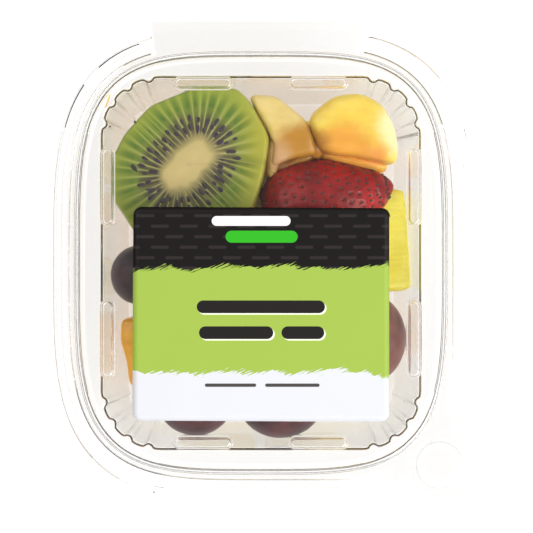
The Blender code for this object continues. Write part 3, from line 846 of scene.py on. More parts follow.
def bar_mask(x, y, half_length, radius):
    """1 inside a bar with round ends, from the distances to its centre."""
    beyond = add_node(tree, "ShaderNodeMath", {0: x}, operation="ABSOLUTE")
    beyond = add_node(tree, "ShaderNodeMath", {0: beyond.outputs[0], 1: half_length}, operation="SUBTRACT")
    beyond = add_node(tree, "ShaderNodeMath", {0: beyond.outputs[0], 1: 0.0}, operation="MAXIMUM")
    corner = add_node(tree, "ShaderNodeCombineXYZ", {0: beyond.outputs[0], 1: y})
    far = add_node(tree, "ShaderNodeVectorMath", {0: corner.outputs[0]}, operation="LENGTH")
    return add_node(
        tree,
        "ShaderNodeMapRange",
        {"Value": far.outputs["Value"], "From Min": radius + BAR_BLUR, "From Max": radius - BAR_BLUR},
    ).outputs[0]


# %% The printed colours, one over another
row = add_node(tree, "ShaderNodeMath", {0: up, 1: DASH_ROW}, operation="DIVIDE")
row_number = add_node(tree, "ShaderNodeMath", {0: row.outputs[0]}, operation="FLOOR")
odd = add_node(tree, "ShaderNodeMath", {0: row_number.outputs[0], 1: 2.0}, operation="FLOORED_MODULO")
shifted = add_node(
    tree, "ShaderNodeMath", {0: odd.outputs[0], 1: DASH_STEP / 2, 2: along}, operation="MULTIPLY_ADD"
)
dash_x = add_node(
    tree, "ShaderNodeMath", {0: shifted.outputs[0], 1: DASH_STEP / 2, 2: -DASH_STEP / 2}, operation="WRAP"
)
dash_y = add_node(tree, "ShaderNodeMath", {0: up, 1: DASH_ROW, 2: 0.0}, operation="WRAP")
dash_y = add_node(tree, "ShaderNodeMath", {0: dash_y.outputs[0], 1: DASH_ROW / 2}, operation="SUBTRACT")
dashes = bar_mask(dash_x.outputs[0], dash_y.outputs[0], DASH_HALF, DASH_RADIUS)
black = add_node(
    tree, "ShaderNodeMix", {"Factor": dashes, "A": INK_BLACK, "B": INK_FAINT}, data_type="RGBA"
)
colour = add_node(
    tree,
    "ShaderNodeMix",
    {"Factor": edge_mask(*FIELD_EDGES[1]), "A": PAPER_WHITE, "B": INK_GREEN},
    data_type="RGBA",
)
colour = add_node(
    tree,
    "ShaderNodeMix",
    {"Factor": edge_mask(*FIELD_EDGES[0]), "A": colour.outputs["Result"], "B": black.outputs["Result"]},
    data_type="RGBA",
)
for centre, half_length, radius, ink in BARS:
    x = add_node(tree, "ShaderNodeMath", {0: along, 1: centre[0]}, operation="SUBTRACT")
    y = add_node(tree, "ShaderNodeMath", {0: up, 1: centre[1]}, operation="SUBTRACT")
    colour = add_node(
        tree,
        "ShaderNodeMix",
        {
            "Factor": bar_mask(x.outputs[0], y.outputs[0], half_length, radius),
            "A": colour.outputs["Result"],
            "B": hex_colour(ink),
        },
        data_type="RGBA",
    )
facing = add_node(tree, "ShaderNodeTexCoord").outputs["Normal"]
upward = add_node(tree, "ShaderNodeSeparateXYZ", {0: facing}).outputs["Z"]
printed_side = add_node(tree, "ShaderNodeMapRange", {"Value": upward, "From Min": -0.1, "From Max": 0.1})
colour = add_node(
    tree,
    "ShaderNodeMix",
    {"Factor": printed_side.outputs[0], "A": PAPER_BACK, "B": colour.outputs["Result"]},
    data_type="RGBA",
)
tooth = add_node(tree, "ShaderNodeTexNoise", {"Vector": where, "Scale": 1 / (0.5 * MM), "Detail": 3.0})
bump = add_node(
    tree, "ShaderNodeBump", {"Height": tooth.outputs[0], "Distance": 0.012 * MM, "Strength": 1.0}
)
shader = add_node(
    tree,
    "ShaderNodeBsdfPrincipled",
    {
        "Base Color": colour.outputs["Result"],
        "Roughness": 0.42,
        "IOR": 1.45,
        "Specular IOR Level": 0.28,
        "Normal": bump.outputs[0],
    },
)
tree.links.new(shader.outputs[0], out.inputs["Surface"])

dress(label, printed_paper, "cover", "printed_label", "label")
print("nodes in the print:", len(tree.nodes))

# %% [markdown]
# ## A film of juice, with painted shade
# Cut fruit weeps, and its juice wets the inside of the tray's wall and floor with a cloudy, pale
# yellow film. Its warm tone also paints the shade and the warm light from the fruit in the gaps
# between the pieces, as painted shade strongest at the back and on the left, away from the key
# light. It is a thin skin on outlines of the wall, drawn in by a fraction of a millimetre.

# %% Model the film
FILM_INSET = 0.38 * MM
FILM_THICKNESS = 0.06 * MM
FILM_SHARES = (0.04, 0.3, 0.6, 0.97)  # of the way down the wall, at each outline


def film_ring(share):
    """The wall's outline this share of the way from ledge to floor, drawn in by the film."""
    half = [top + (foot - top) * share - FILM_INSET for top, foot in zip(WELL_HALF, foot_half)]
    radius = WELL_RADIUS + (FLOOR_RADIUS - WELL_RADIUS) * share
    depth = FLUTE_DEPTH + (FLUTE_FOOT - FLUTE_DEPTH) * share
    height = LEDGE_Z + (FLOOR_Z + FOOT_CHAMFER - LEDGE_Z) * share
    return raised(well_ring(half, radius, depth), height)


juice = start_piece("juice_film_with_painted_shade")
ring = add_ring(film_ring(FILM_SHARES[0]))
for share in FILM_SHARES[1:]:
    ring = extrude_ring(ring, film_ring(share))
ring = extrude_ring(ring, raised(well_ring(flat_half, FLOOR_RADIUS, 0), FLOOR_Z + FILM_INSET))
cap(ring)
leave_edit()
modify(juice, "SOLIDIFY", thickness=FILM_THICKNESS, offset=0)
print("film faces:", len(juice.data.polygons))

# Pale juice whose tone also paints the shade in the gaps between the pieces.
juice_shade_material, tree, out = new_material("fruit_juice_with_painted_shade")
where = add_node(tree, "ShaderNodeTexCoord").outputs["Object"]
pulp = add_node(tree, "ShaderNodeTexNoise", {"Vector": where, "Scale": 1 / (9 * MM), "Detail": 3.0})
tone = add_node(
    tree,
    "ShaderNodeValToRGB",
    {"Fac": pulp.outputs[0]},
    stops=[(0.3, hex_colour("#F2C232")), (0.55, hex_colour("#F8D454")), (0.75, hex_colour("#FDE890"))],
)
axes = add_node(tree, "ShaderNodeSeparateXYZ", {0: where})
# Painted shade: the film is yellow towards the back and the left, and near white at the front and the right,
# where the key light falls.
backward = add_node(
    tree, "ShaderNodeMapRange", {"Value": axes.outputs["Y"], "From Min": -42 * MM, "From Max": -22 * MM}
)
leftward = add_node(
    tree, "ShaderNodeMapRange", {"Value": axes.outputs["X"], "From Min": 38 * MM, "From Max": 8 * MM}
)
painted_shade_share = add_node(
    tree, "ShaderNodeMath", {0: backward.outputs[0], 1: leftward.outputs[0]}, operation="MULTIPLY"
)
tone = add_node(
    tree,
    "ShaderNodeMix",
    {"Factor": painted_shade_share.outputs[0], "A": hex_colour("#FFFDF2"), "B": tone.outputs[0]},
    data_type="RGBA",
)
shader = add_node(
    tree,
    "ShaderNodeBsdfPrincipled",
    {"Base Color": tone.outputs["Result"], "Roughness": 0.3, "IOR": 1.34, "Alpha": 0.15},
)
tree.links.new(shader.outputs[0], out.inputs["Surface"])
dress(juice, juice_shade_material, "tray", "pineapple")

# %% [markdown]
# ## The kiwi slice
# A thick cross slice, peeled with a knife, so its rim is a ring of flat cuts. Its rings of
# vertices follow those cuts up the side and then shrink towards the middle of the face, where the
# pale core stands a little proud of the seed ring. The seeds are a piece of their own: small
# flattened drops that point away from the core, some of them half sunk in the flesh.

# %% Model the kiwi slice
KIWI_CENTRE = Vector((-19.6 * MM, 26.5 * MM))
KIWI_CUTS = (  # direction in degrees and distance of each knife cut
    (84, 22.1 * MM),
    (47, 24.3 * MM),
    (28, 23.0 * MM),
    (-7, 20.9 * MM),
    (-17, 20.5 * MM),
    (-60, 20.5 * MM),
    (-102, 21.0 * MM),
    (-146.6, 22.3 * MM),
    (180, 21.2 * MM),
    (155.3, 19.5 * MM),
    (138, 18.6 * MM),
    (112.5, 18.9 * MM),
)
KIWI_SHARPNESS = 60
KIWI_SIDES = 288
KIWI_BOTTOM, KIWI_TOP, KIWI_SLOPE = 27.0 * MM, 40.8 * MM, -0.045
KIWI_SIDE = (  # share of the outline, and share of the way up to the face
    (0.93, 0),
    (0.955, 0.04),
    (0.978, 0.2),
    (0.992, 0.4),
    (1.0, 0.6),
    (0.995, 0.8),
    (0.985, 0.93),
    (0.975, 0.975),
)
KIWI_RIM = 0.955  # of the outline, where the face begins
KIWI_FACE_RINGS = 40
CORE_TURN = math.radians(46)
CORE_REACH = 3.8 * MM  # half the length of the line that the core surrounds
CORE_RADIUS = 4.4 * MM
CORE_RISE, CORE_EDGE = 0.25 * MM, 6  # how far the core stands proud, and how steep its edge is
GROOVE_DEPTH, GROOVE_PLACE, GROOVE_WIDTH = 0.16 * MM, 8.6 * MM, 3.2 * MM
RIPPLE_RISE, RIPPLE_WIDTH = 0.10 * MM, 2.5 * MM
KIWI_SHARP = 40  # degrees, above which an edge stays crisp


def kiwi_radius(angle):
    """Distance to the knife cuts in this direction, with each corner a little rounded."""
    total = 0.0
    for degrees, distance in KIWI_CUTS:
        facing = math.cos(angle - math.radians(degrees))
        if facing > 0:
            total += (facing / distance) ** KIWI_SHARPNESS
    return total ** (-1 / KIWI_SHARPNESS)


def core_distance(point):
    """How far a point of the face is from the line that the core surrounds."""
    local = (point - KIWI_CENTRE).copy()
    local.rotate(Matrix.Rotation(-CORE_TURN, 2))
    return math.hypot(max(abs(local.x) - CORE_REACH, 0), local.y)


def kiwi_face(point):
    """Height of the cut face, with its core raised and its seed ring sunk."""
    far = core_distance(point)
    core = CORE_RISE / (1 + (far / CORE_RADIUS) ** CORE_EDGE)
    groove = GROOVE_DEPTH * math.exp(-(((far - GROOVE_PLACE) / GROOVE_WIDTH) ** 2))
    ripple = RIPPLE_RISE * noise.noise(Vector((point.x, point.y, 0)) / RIPPLE_WIDTH)
    return KIWI_TOP + (point.x - KIWI_CENTRE.x) * KIWI_SLOPE + core - groove + ripple


kiwi = start_piece("kiwi_flesh")
angles = [2 * math.pi * k / KIWI_SIDES for k in range(KIWI_SIDES)]
outline = [direction(a) * kiwi_radius(a) for a in angles]
ring = None
for scale, share in KIWI_SIDE:
    places = []
    for p in outline:
        point = KIWI_CENTRE + p * scale
        places.append(Vector((*point, KIWI_BOTTOM + (kiwi_face(point) - KIWI_BOTTOM) * share)))
    if ring is None:
        ring = add_ring(places)
        cap(ring)
    else:
        ring = extrude_ring(ring, places)
for k in range(KIWI_FACE_RINGS):
    scale = KIWI_RIM * (1 - k / KIWI_FACE_RINGS)
    points = [KIWI_CENTRE + p * scale for p in outline]
    ring = extrude_ring(ring, [Vector((*point, kiwi_face(point))) for point in points])
cap(ring)
leave_edit(KIWI_SHARP)
print("kiwi faces:", len(kiwi.data.polygons))

# %% Model its seeds
KIWI_SEEDS = 66
SEED_DISTANCES = (7.3 * MM, 9.8 * MM)  # from the core's line, of the inner and the outer ones
SEED_SPREAD = 0.9 * MM
SEED_HALF = (1.30 * MM, 0.74 * MM, 0.46 * MM)
SEED_TAPER = 0.28
STRAY_SEED = (-34.1 * MM, 25.5 * MM)
rng = random.Random(5)


def around_core(share, distance):
    """A point at this distance from the core's line, this share of the way round, and its direction."""
    straight, bend = 2 * CORE_REACH, math.pi * distance
    travel = share * 2 * (straight + bend)
    side = 1
    if travel > straight + bend:
        side, travel = -1, travel - straight - bend
    if travel < straight:
        point, facing = Vector((CORE_REACH - travel, distance)), math.pi / 2
    else:
        facing = math.pi / 2 + (travel - straight) / distance
        point = Vector((-CORE_REACH, 0)) + direction(facing) * distance
    return point * side, facing + (0 if side > 0 else math.pi)


def add_seed(point, height, facing, half, tilt):
    """Adds a flattened drop to the mesh in edit mode, its thin end towards the core."""
    bpy.ops.mesh.select_all(action="DESELECT")
    bpy.ops.mesh.primitive_uv_sphere_add(segments=12, ring_count=8, radius=1)
    place = Matrix.Translation((*point, height))
    place = place @ Matrix.Rotation(facing, 4, "Z") @ Matrix.Rotation(tilt, 4, "Y")
    length, width, thickness = half
    for vert in edited().verts:
        if vert.select:
            x, y, z = vert.co
            drop = 1 - SEED_TAPER + SEED_TAPER * z
            vert.co = place @ Vector((z * length, x * width * drop, y * thickness * drop))
    bmesh.update_edit_mesh(bpy.context.object.data)


kiwi_seeds = start_piece("kiwi_seeds")
for k in range(KIWI_SEEDS):
    far = SEED_DISTANCES[k % 2] + rng.uniform(-1, 1) * SEED_SPREAD
    local, facing = around_core((k + rng.uniform(-0.3, 0.3)) / KIWI_SEEDS % 1, far)
    local.rotate(Matrix.Rotation(CORE_TURN, 2))
    point = KIWI_CENTRE + local
    half = [value * rng.uniform(0.85, 1.15) for value in SEED_HALF]
    sunk = rng.uniform(0.05, 0.3) * MM
    add_seed(point, kiwi_face(point) - sunk, facing + CORE_TURN, half, rng.uniform(-0.15, 0.15))
point = Vector(STRAY_SEED)
add_seed(point, kiwi_face(point) + 0.1 * MM, math.radians(130), SEED_HALF, 0)
leave_edit()
print("seed faces:", len(kiwi_seeds.data.polygons))

# %% [markdown]
# ## Kiwi flesh
# Ripe kiwi is translucent: a cream core, a ring where the dark seeds show through the flesh as a
# grey-violet shade, and bright green outside, crossed by pale walls that run out from the core.
# The pattern therefore needs two coordinates, the distance from the core's line and the way
# round it. A noise that is read on the direction alone stays the same along each ray, and its
# steepest places, sharpened, become the thin pale walls.

# %% Material of the kiwi
RAY_FINENESS = 9.0
RAY_SHIFT = 1.4  # how much of the noise passes along the core's straight sides
RAY_COUNT = 44
RAY_RADIUS = 8 * MM  # distance from the core's line at which the rays stand evenly
RAY_PITCH = (2 * math.pi * RAY_RADIUS + 4 * CORE_REACH) / RAY_COUNT
RAY_WOBBLE = 1.9
kiwi_look, tree, out = new_material("ripe_kiwi_flesh")
where = add_node(tree, "ShaderNodeTexCoord").outputs["Object"]
centred = add_node(
    tree,
    "ShaderNodeMapping",
    {"Vector": where, "Location": (*KIWI_CENTRE, 0), "Rotation": (0, 0, CORE_TURN)},
    vector_type="TEXTURE",
)
axes = add_node(tree, "ShaderNodeSeparateXYZ", {0: centred.outputs[0]})
clamped = add_node(
    tree, "ShaderNodeClamp", {"Value": axes.outputs["X"], "Min": -CORE_REACH, "Max": CORE_REACH}
)
beyond = add_node(tree, "ShaderNodeMath", {0: axes.outputs["X"], 1: clamped.outputs[0]}, operation="SUBTRACT")
outward = add_node(tree, "ShaderNodeCombineXYZ", {0: beyond.outputs[0], 1: axes.outputs["Y"], 2: 0.0})
far = add_node(tree, "ShaderNodeVectorMath", {0: outward.outputs[0]}, operation="LENGTH").outputs["Value"]
facing = add_node(tree, "ShaderNodeVectorMath", {0: outward.outputs[0]}, operation="NORMALIZE")
split = add_node(tree, "ShaderNodeSeparateXYZ", {0: facing.outputs[0]})
slid = add_node(
    tree, "ShaderNodeMath", {0: clamped.outputs[0], 1: RAY_SHIFT / CORE_REACH}, operation="MULTIPLY"
)
ray_place = add_node(
    tree, "ShaderNodeCombineXYZ", {0: split.outputs["X"], 1: split.outputs["Y"], 2: slid.outputs[0]}
)
uneven = add_node(tree, "ShaderNodeTexNoise", {"Vector": where, "Scale": 1 / (4 * MM), "Detail": 2.0})
uneven_far = add_node(tree, "ShaderNodeMath", {0: uneven.outputs[0], 1: 0.5}, operation="SUBTRACT")
far_soft = add_node(
    tree, "ShaderNodeMath", {0: uneven_far.outputs[0], 1: 3.2 * MM, 2: far}, operation="MULTIPLY_ADD"
)
depth = add_node(
    tree, "ShaderNodeMapRange", {"Value": far_soft.outputs[0], "From Min": 0.0, "From Max": 22 * MM}
)
zones = add_node(
    tree,
    "ShaderNodeValToRGB",
    {"Fac": depth.outputs[0]},
    stops=[
        (0.0, hex_colour("#CDBB83")),
        (0.15, hex_colour("#C6B57B")),
        (0.215, hex_colour("#998E5C")),
        (0.29, hex_colour("#767049")),
        (0.42, hex_colour("#747A3B")),
        (0.52, hex_colour("#7C8A38")),
        (0.68, hex_colour("#8B9C38")),
        (0.82, hex_colour("#98A53F")),
        (1.0, hex_colour("#9EA944")),
    ],
)
turned = add_node(
    tree, "ShaderNodeMath", {0: split.outputs["Y"], 1: split.outputs["X"]}, operation="ARCTAN2"
)
side = add_node(tree, "ShaderNodeMath", {0: axes.outputs["Y"]}, operation="SIGN")
run = add_node(tree, "ShaderNodeMath", {0: CORE_REACH, 1: clamped.outputs[0]}, operation="SUBTRACT")
run = add_node(tree, "ShaderNodeMath", {0: run.outputs[0], 1: side.outputs[0]}, operation="MULTIPLY")
travel = add_node(
    tree, "ShaderNodeMath", {0: turned.outputs[0], 1: RAY_RADIUS, 2: run.outputs[0]}, operation="MULTIPLY_ADD"
)
wobble = add_node(
    tree, "ShaderNodeTexNoise", {"Vector": ray_place.outputs[0], "Scale": RAY_FINENESS / 3, "Detail": 2.0}
)
place = add_node(
    tree, "ShaderNodeMath", {0: travel.outputs[0], 1: 1 / RAY_PITCH, 2: 0.5}, operation="MULTIPLY_ADD"
)
place = add_node(
    tree,
    "ShaderNodeMath",
    {0: wobble.outputs[0], 1: RAY_WOBBLE, 2: place.outputs[0]},
    operation="MULTIPLY_ADD",
)
cell = add_node(tree, "ShaderNodeMath", {0: place.outputs[0]}, operation="FRACT")
ridge = add_node(tree, "ShaderNodeMath", {0: cell.outputs[0], 1: 0.5}, operation="SUBTRACT")
ridge = add_node(tree, "ShaderNodeMath", {0: ridge.outputs[0]}, operation="ABSOLUTE")
wall = add_node(
    tree, "ShaderNodeMapRange", {"Value": ridge.outputs[0], "From Min": 0.14, "From Max": 0.02}
)
wall_fade = add_node(
    tree,
    "ShaderNodeValToRGB",
    {"Fac": depth.outputs[0]},
    stops=[
        (0.0, (0, 0, 0, 1)),
        (0.2, (0.2, 0.2, 0.2, 1)),
        (0.3, (0.75, 0.75, 0.75, 1)),
        (0.5, (0.6, 0.6, 0.6, 1)),
        (0.68, (0.25, 0.25, 0.25, 1)),
        (0.82, (0, 0, 0, 1)),
    ],
)
wall_share = add_node(
    tree, "ShaderNodeMath", {0: wall.outputs[0], 1: wall_fade.outputs[0]}, operation="MULTIPLY"
)
chambers = add_node(
    tree, "ShaderNodeTexNoise", {"Vector": ray_place.outputs[0], "Scale": RAY_FINENESS * 0.6, "Detail": 1.0}
)
deep = add_node(
    tree,
    "ShaderNodeMapRange",
    {"Value": chambers.outputs[0], "From Min": 0.30, "From Max": 0.55, "To Min": 0.4},
)
between = add_node(
    tree, "ShaderNodeMapRange", {"Value": ridge.outputs[0], "From Min": 0.12, "From Max": 0.34}
)
chamber = add_node(
    tree, "ShaderNodeMath", {0: deep.outputs[0], 1: between.outputs[0]}, operation="MULTIPLY"
)
seed_shade = add_node(
    tree,
    "ShaderNodeValToRGB",
    {"Fac": depth.outputs[0]},
    stops=[
        (0.22, (0, 0, 0, 1)),
        (0.30, (0.85, 0.85, 0.85, 1)),
        (0.46, (0.75, 0.75, 0.75, 1)),
        (0.56, (0, 0, 0, 1)),
    ],
)
shade_share = add_node(
    tree, "ShaderNodeMath", {0: chamber.outputs[0], 1: seed_shade.outputs[0]}, operation="MULTIPLY"
)
streak_zone = add_node(
    tree,
    "ShaderNodeValToRGB",
    {"Fac": depth.outputs[0]},
    stops=[
        (0.5, (0, 0, 0, 1)),
        (0.6, (0.95, 0.95, 0.95, 1)),
        (0.72, (0.55, 0.55, 0.55, 1)),
        (0.84, (0, 0, 0, 1)),
    ],
)
streak_share = add_node(
    tree, "ShaderNodeMath", {0: chamber.outputs[0], 1: streak_zone.outputs[0]}, operation="MULTIPLY"
)
colour = zones.outputs[0]
for share, ink in (
    (shade_share, hex_colour("#3C3436")),
    (streak_share, hex_colour("#4C7029")),
    (wall_share, hex_colour("#B6B873")),
):
    colour = add_node(
        tree, "ShaderNodeMix", {"Factor": share.outputs[0], "A": colour, "B": ink}, data_type="RGBA"
    ).outputs["Result"]
across = add_node(tree, "ShaderNodeSeparateXYZ", {0: where}).outputs["X"]
for start, end, strength, ink in (  # light comes through the right rim, and the left one is in shade
    (-7 * MM, 2 * MM, 0.55, "#C8B73E"),
    (-28 * MM, -42 * MM, 0.35, "#6C7430"),
):
    share = add_node(
        tree, "ShaderNodeMapRange", {"Value": across, "From Min": start, "From Max": end, "To Max": strength}
    )
    colour = add_node(
        tree,
        "ShaderNodeMix",
        {"Factor": share.outputs[0], "A": colour, "B": hex_colour(ink)},
        data_type="RGBA",
    ).outputs["Result"]
grain = add_node(tree, "ShaderNodeTexNoise", {"Vector": where, "Scale": 1 / (0.7 * MM), "Detail": 3.0})
height = add_node(
    tree, "ShaderNodeMath", {0: wall_share.outputs[0], 1: 1.5, 2: grain.outputs[0]}, operation="MULTIPLY_ADD"
)
bump = add_node(
    tree, "ShaderNodeBump", {"Height": height.outputs[0], "Distance": 0.09 * MM, "Strength": 0.8}
)
shader = add_node(
    tree,
    "ShaderNodeBsdfPrincipled",
    {
        "Base Color": colour,
        "Roughness": 0.32,
        "IOR": 1.36,
        "Subsurface Weight": 0.25,
        "Subsurface Radius": (0.6, 1.0, 0.25),
        "Subsurface Scale": 1.5 * MM,
        "Specular IOR Level": 0.4,
        "Coat Weight": 0.18,
        "Coat Roughness": 0.12,
        "Normal": bump.outputs[0],
    },
)
tree.links.new(shader.outputs[0], out.inputs["Surface"])

# %% Material of the seeds
seed_look, tree, out = new_material("wet_kiwi_seed_coat")
where = add_node(tree, "ShaderNodeTexCoord").outputs["Object"]
tone = add_node(tree, "ShaderNodeTexNoise", {"Vector": where, "Scale": 1 / (1.5 * MM), "Detail": 2.0})
colour = add_node(
    tree,
    "ShaderNodeMix",
    {"Factor": tone.outputs[0], "A": hex_colour("#1E1720"), "B": hex_colour("#463B47")},
    data_type="RGBA",
)
shader = add_node(
    tree,
    "ShaderNodeBsdfPrincipled",
    {"Base Color": colour.outputs["Result"], "Roughness": 0.3, "IOR": 1.45},
)
tree.links.new(shader.outputs[0], out.inputs["Surface"])
dress(kiwi, kiwi_look, "tray", "kiwi", "kiwi_slice")
dress(kiwi_seeds, seed_look, "tray", "kiwi")

# %% [markdown]
# ## The halved strawberry
# The half lies on its cut face, its tip to the right. Rings run from heel to tip. Each is an arch
# over the flat cut, and its width is read from a smooth curve through a few widths. The skin
# swells between its seeds, so every vertex near a seed is drawn in, and the seeds then sit in
# those pits.

# %% Model the strawberry
BERRY_HEEL = Vector((1.0 * MM, 12.6 * MM, 29.3 * MM))
BERRY_TIP = Vector((36.3 * MM, 21.4 * MM, 30.0 * MM))
BERRY_WIDTHS = [w * MM for w in (6.4, 11.2, 12.4, 12.5, 11.9, 10.4, 8.3, 5.6)]
BERRY_HEIGHT = 0.90
TIP_POINT = 0.5  # how far the round tip is drawn to a point
BERRY_RINGS, BERRY_ARCH, BERRY_FLAT = 110, 120, 36
PIT_ROWS, PIT_COLUMNS = 14, 12
PIT_DEPTH, PIT_RADIUS = 0.30 * MM, 0.72 * MM
ACHENE_HALF = (0.64 * MM, 0.40 * MM, 0.28 * MM)
ACHENE_RISE = 0.02 * MM
ACHENE_TAPER = 0.25
SKIN_SWELL, SKIN_SWELL_WIDTH = 0.18 * MM, 3.0 * MM
LEAST_WIDTH = 0.02 * MM  # so that the last ring doesn't close to a point
BERRY_SHARP = 50  # degrees, above which an edge stays crisp

forward = (BERRY_TIP - BERRY_HEEL).normalized()
sideways = Vector((0, 0, 1)).cross(forward).normalized()
berry_turn = Matrix((forward, sideways, forward.cross(sideways))).transposed()
berry_place = Matrix.Translation(BERRY_HEEL) @ berry_turn.to_4x4()
berry_length = (BERRY_TIP - BERRY_HEEL).length


def berry_half_width(share):
    """Half width at this share of the length: a smooth curve through the widths, and a round tip."""
    last = len(BERRY_WIDTHS) - 1
    place = min(max(share, 0), 1) * (last + 1)
    if place > last:
        beyond = place - last
        return max(BERRY_WIDTHS[last] * math.sqrt(1 - beyond**2) * (1 - TIP_POINT * beyond), LEAST_WIDTH)
    k = min(int(place), last - 1)
    t = place - k
    a, b = BERRY_WIDTHS[k], BERRY_WIDTHS[k + 1]
    before = BERRY_WIDTHS[k - 1] if k else a - (b - a)
    after = BERRY_WIDTHS[k + 2] if k + 2 <= last else b
    square = 2 * before - 5 * a + 4 * b - after
    cube = 3 * a - before - 3 * b + after
    smooth = 0.5 * (2 * a + (b - before) * t + square * t * t + cube * t**3)
    return max(smooth, LEAST_WIDTH)


def berry_point(share, angle):
    """A point of the skin, in the berry's own frame."""
    width = berry_half_width(share)
    return Vector((share * berry_length, math.cos(angle) * width, math.sin(angle) * width * BERRY_HEIGHT))


pits = []
rng = random.Random(3)
for row in range(PIT_ROWS):
    share = (row + 0.6) / (PIT_ROWS + 0.5)
    for column in range(PIT_COLUMNS):
        angle = math.pi * (column + 0.5 + 0.5 * (row % 2)) / (PIT_COLUMNS + 0.5)
        pits.append((share + rng.uniform(-0.012, 0.012), angle + rng.uniform(-0.05, 0.05)))
pit_points = [berry_point(share, angle) for share, angle in pits]
pit_tree = KDTree(len(pit_points))
for k, point in enumerate(pit_points):
    pit_tree.insert(point, k)
pit_tree.balance()


def skin_point(share, angle):
    """A point of the skin with its pits pressed in."""
    point = berry_point(share, angle)
    middle = Vector((point.x, 0, 0))
    nearest = pit_tree.find(point)[2]
    depth = PIT_DEPTH * math.exp(-((nearest / PIT_RADIUS) ** 2))
    swell = SKIN_SWELL * noise.noise(point / SKIN_SWELL_WIDTH)
    inward = (point - middle).normalized()
    return point - inward * (depth - swell)


strawberry = start_piece("strawberry_skin")
ring = None
for k in range(BERRY_RINGS + 1):
    share = k / BERRY_RINGS
    places = [berry_place @ skin_point(share, math.pi * j / BERRY_ARCH) for j in range(BERRY_ARCH + 1)]
    first, last = places[0], places[-1]
    places += [last.lerp(first, j / BERRY_FLAT) for j in range(1, BERRY_FLAT)]
    if ring is None:
        ring = add_ring(places)
        cap(ring)
    else:
        ring = extrude_ring(ring, places)
cap(ring)
leave_edit(BERRY_SHARP)

strawberry_seeds = start_piece("strawberry_seeds")
length, width, thickness = ACHENE_HALF
for share, angle in pits:
    point = skin_point(share, angle)
    out_angle = math.atan2(point.z, point.y)
    outward = berry_place.to_3x3() @ Vector((0, math.cos(out_angle), math.sin(out_angle)))
    place = berry_place @ point + outward * ACHENE_RISE
    bpy.ops.mesh.select_all(action="DESELECT")
    bpy.ops.mesh.primitive_uv_sphere_add(segments=10, ring_count=6, radius=1)
    turn = Matrix((forward, outward.cross(forward), outward)).transposed().to_4x4()
    for vert in edited().verts:
        if vert.select:
            x, y, z = vert.co
            drop = 1 - ACHENE_TAPER + ACHENE_TAPER * z
            vert.co = place + turn @ Vector((z * length, x * width * drop, y * thickness))
leave_edit()
print("strawberry faces:", len(strawberry.data.polygons), "seeds:", len(pits))

# %% [markdown]
# ## Strawberry skin
# The skin is deep red and glossy, paler where it is less ripe, and a little darker in its pits.
# Sugar and juice wet it, so a clear coat lies over a softer red. The seeds that show here are
# dark and dull.

# %% Materials of the strawberry
berry_look, tree, out = new_material("wet_strawberry_skin")
where = add_node(tree, "ShaderNodeTexCoord").outputs["Object"]
tone = add_node(tree, "ShaderNodeTexNoise", {"Vector": where, "Scale": 1 / (7 * MM), "Detail": 3.0})
red = add_node(
    tree,
    "ShaderNodeValToRGB",
    {"Fac": tone.outputs[0]},
    stops=[(0.3, hex_colour("#74050A")), (0.5, hex_colour("#92090C")), (0.7, hex_colour("#AA120F"))],
)
pores = add_node(tree, "ShaderNodeTexNoise", {"Vector": where, "Scale": 1 / (0.35 * MM), "Detail": 2.0})
bump = add_node(tree, "ShaderNodeBump", {"Height": pores.outputs[0], "Distance": 0.05 * MM, "Strength": 0.7})
shader = add_node(
    tree,
    "ShaderNodeBsdfPrincipled",
    {
        "Base Color": red.outputs[0],
        "Roughness": 0.35,
        "IOR": 1.38,
        "Subsurface Weight": 0.15,
        "Subsurface Radius": (1.0, 0.2, 0.1),
        "Subsurface Scale": 1.2 * MM,
        "Specular IOR Level": 0.35,
        "Coat Weight": 0.22,
        "Coat Roughness": 0.10,
        "Normal": bump.outputs[0],
    },
)
tree.links.new(shader.outputs[0], out.inputs["Surface"])

achene_look, tree, out = new_material("dry_strawberry_achene")
where = add_node(tree, "ShaderNodeTexCoord").outputs["Object"]
tone = add_node(tree, "ShaderNodeTexNoise", {"Vector": where, "Scale": 1 / (3 * MM), "Detail": 1.0})
colour = add_node(
    tree,
    "ShaderNodeMix",
    {"Factor": tone.outputs[0], "A": hex_colour("#2C1414"), "B": hex_colour("#54301F")},
    data_type="RGBA",
)
shader = add_node(
    tree, "ShaderNodeBsdfPrincipled", {"Base Color": colour.outputs["Result"], "Roughness": 0.5}
)
tree.links.new(shader.outputs[0], out.inputs["Surface"])
dress(strawberry, berry_look, "tray", "strawberry", "strawberry_half")
dress(strawberry_seeds, achene_look, "tray", "strawberry")

# %% [markdown]
# ## Cut pineapple and mango
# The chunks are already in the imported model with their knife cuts. What they lack is the soft,
# wet surface of cut fruit. So each one is copied, its loose triangles are merged, it is divided
# finely and smoothed, and a slow noise pulls its faces out of true by a fraction of a millimetre.


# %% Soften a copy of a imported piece
CUTS, SMOOTHING = 2, 3
GRAIN = 0.45 * MM
UNEVENNESS = 0.22 * MM
SLOW_WIDTH, FINE_WIDTH, FINE_SHARE = 6 * MM, 1.6 * MM, 0.35


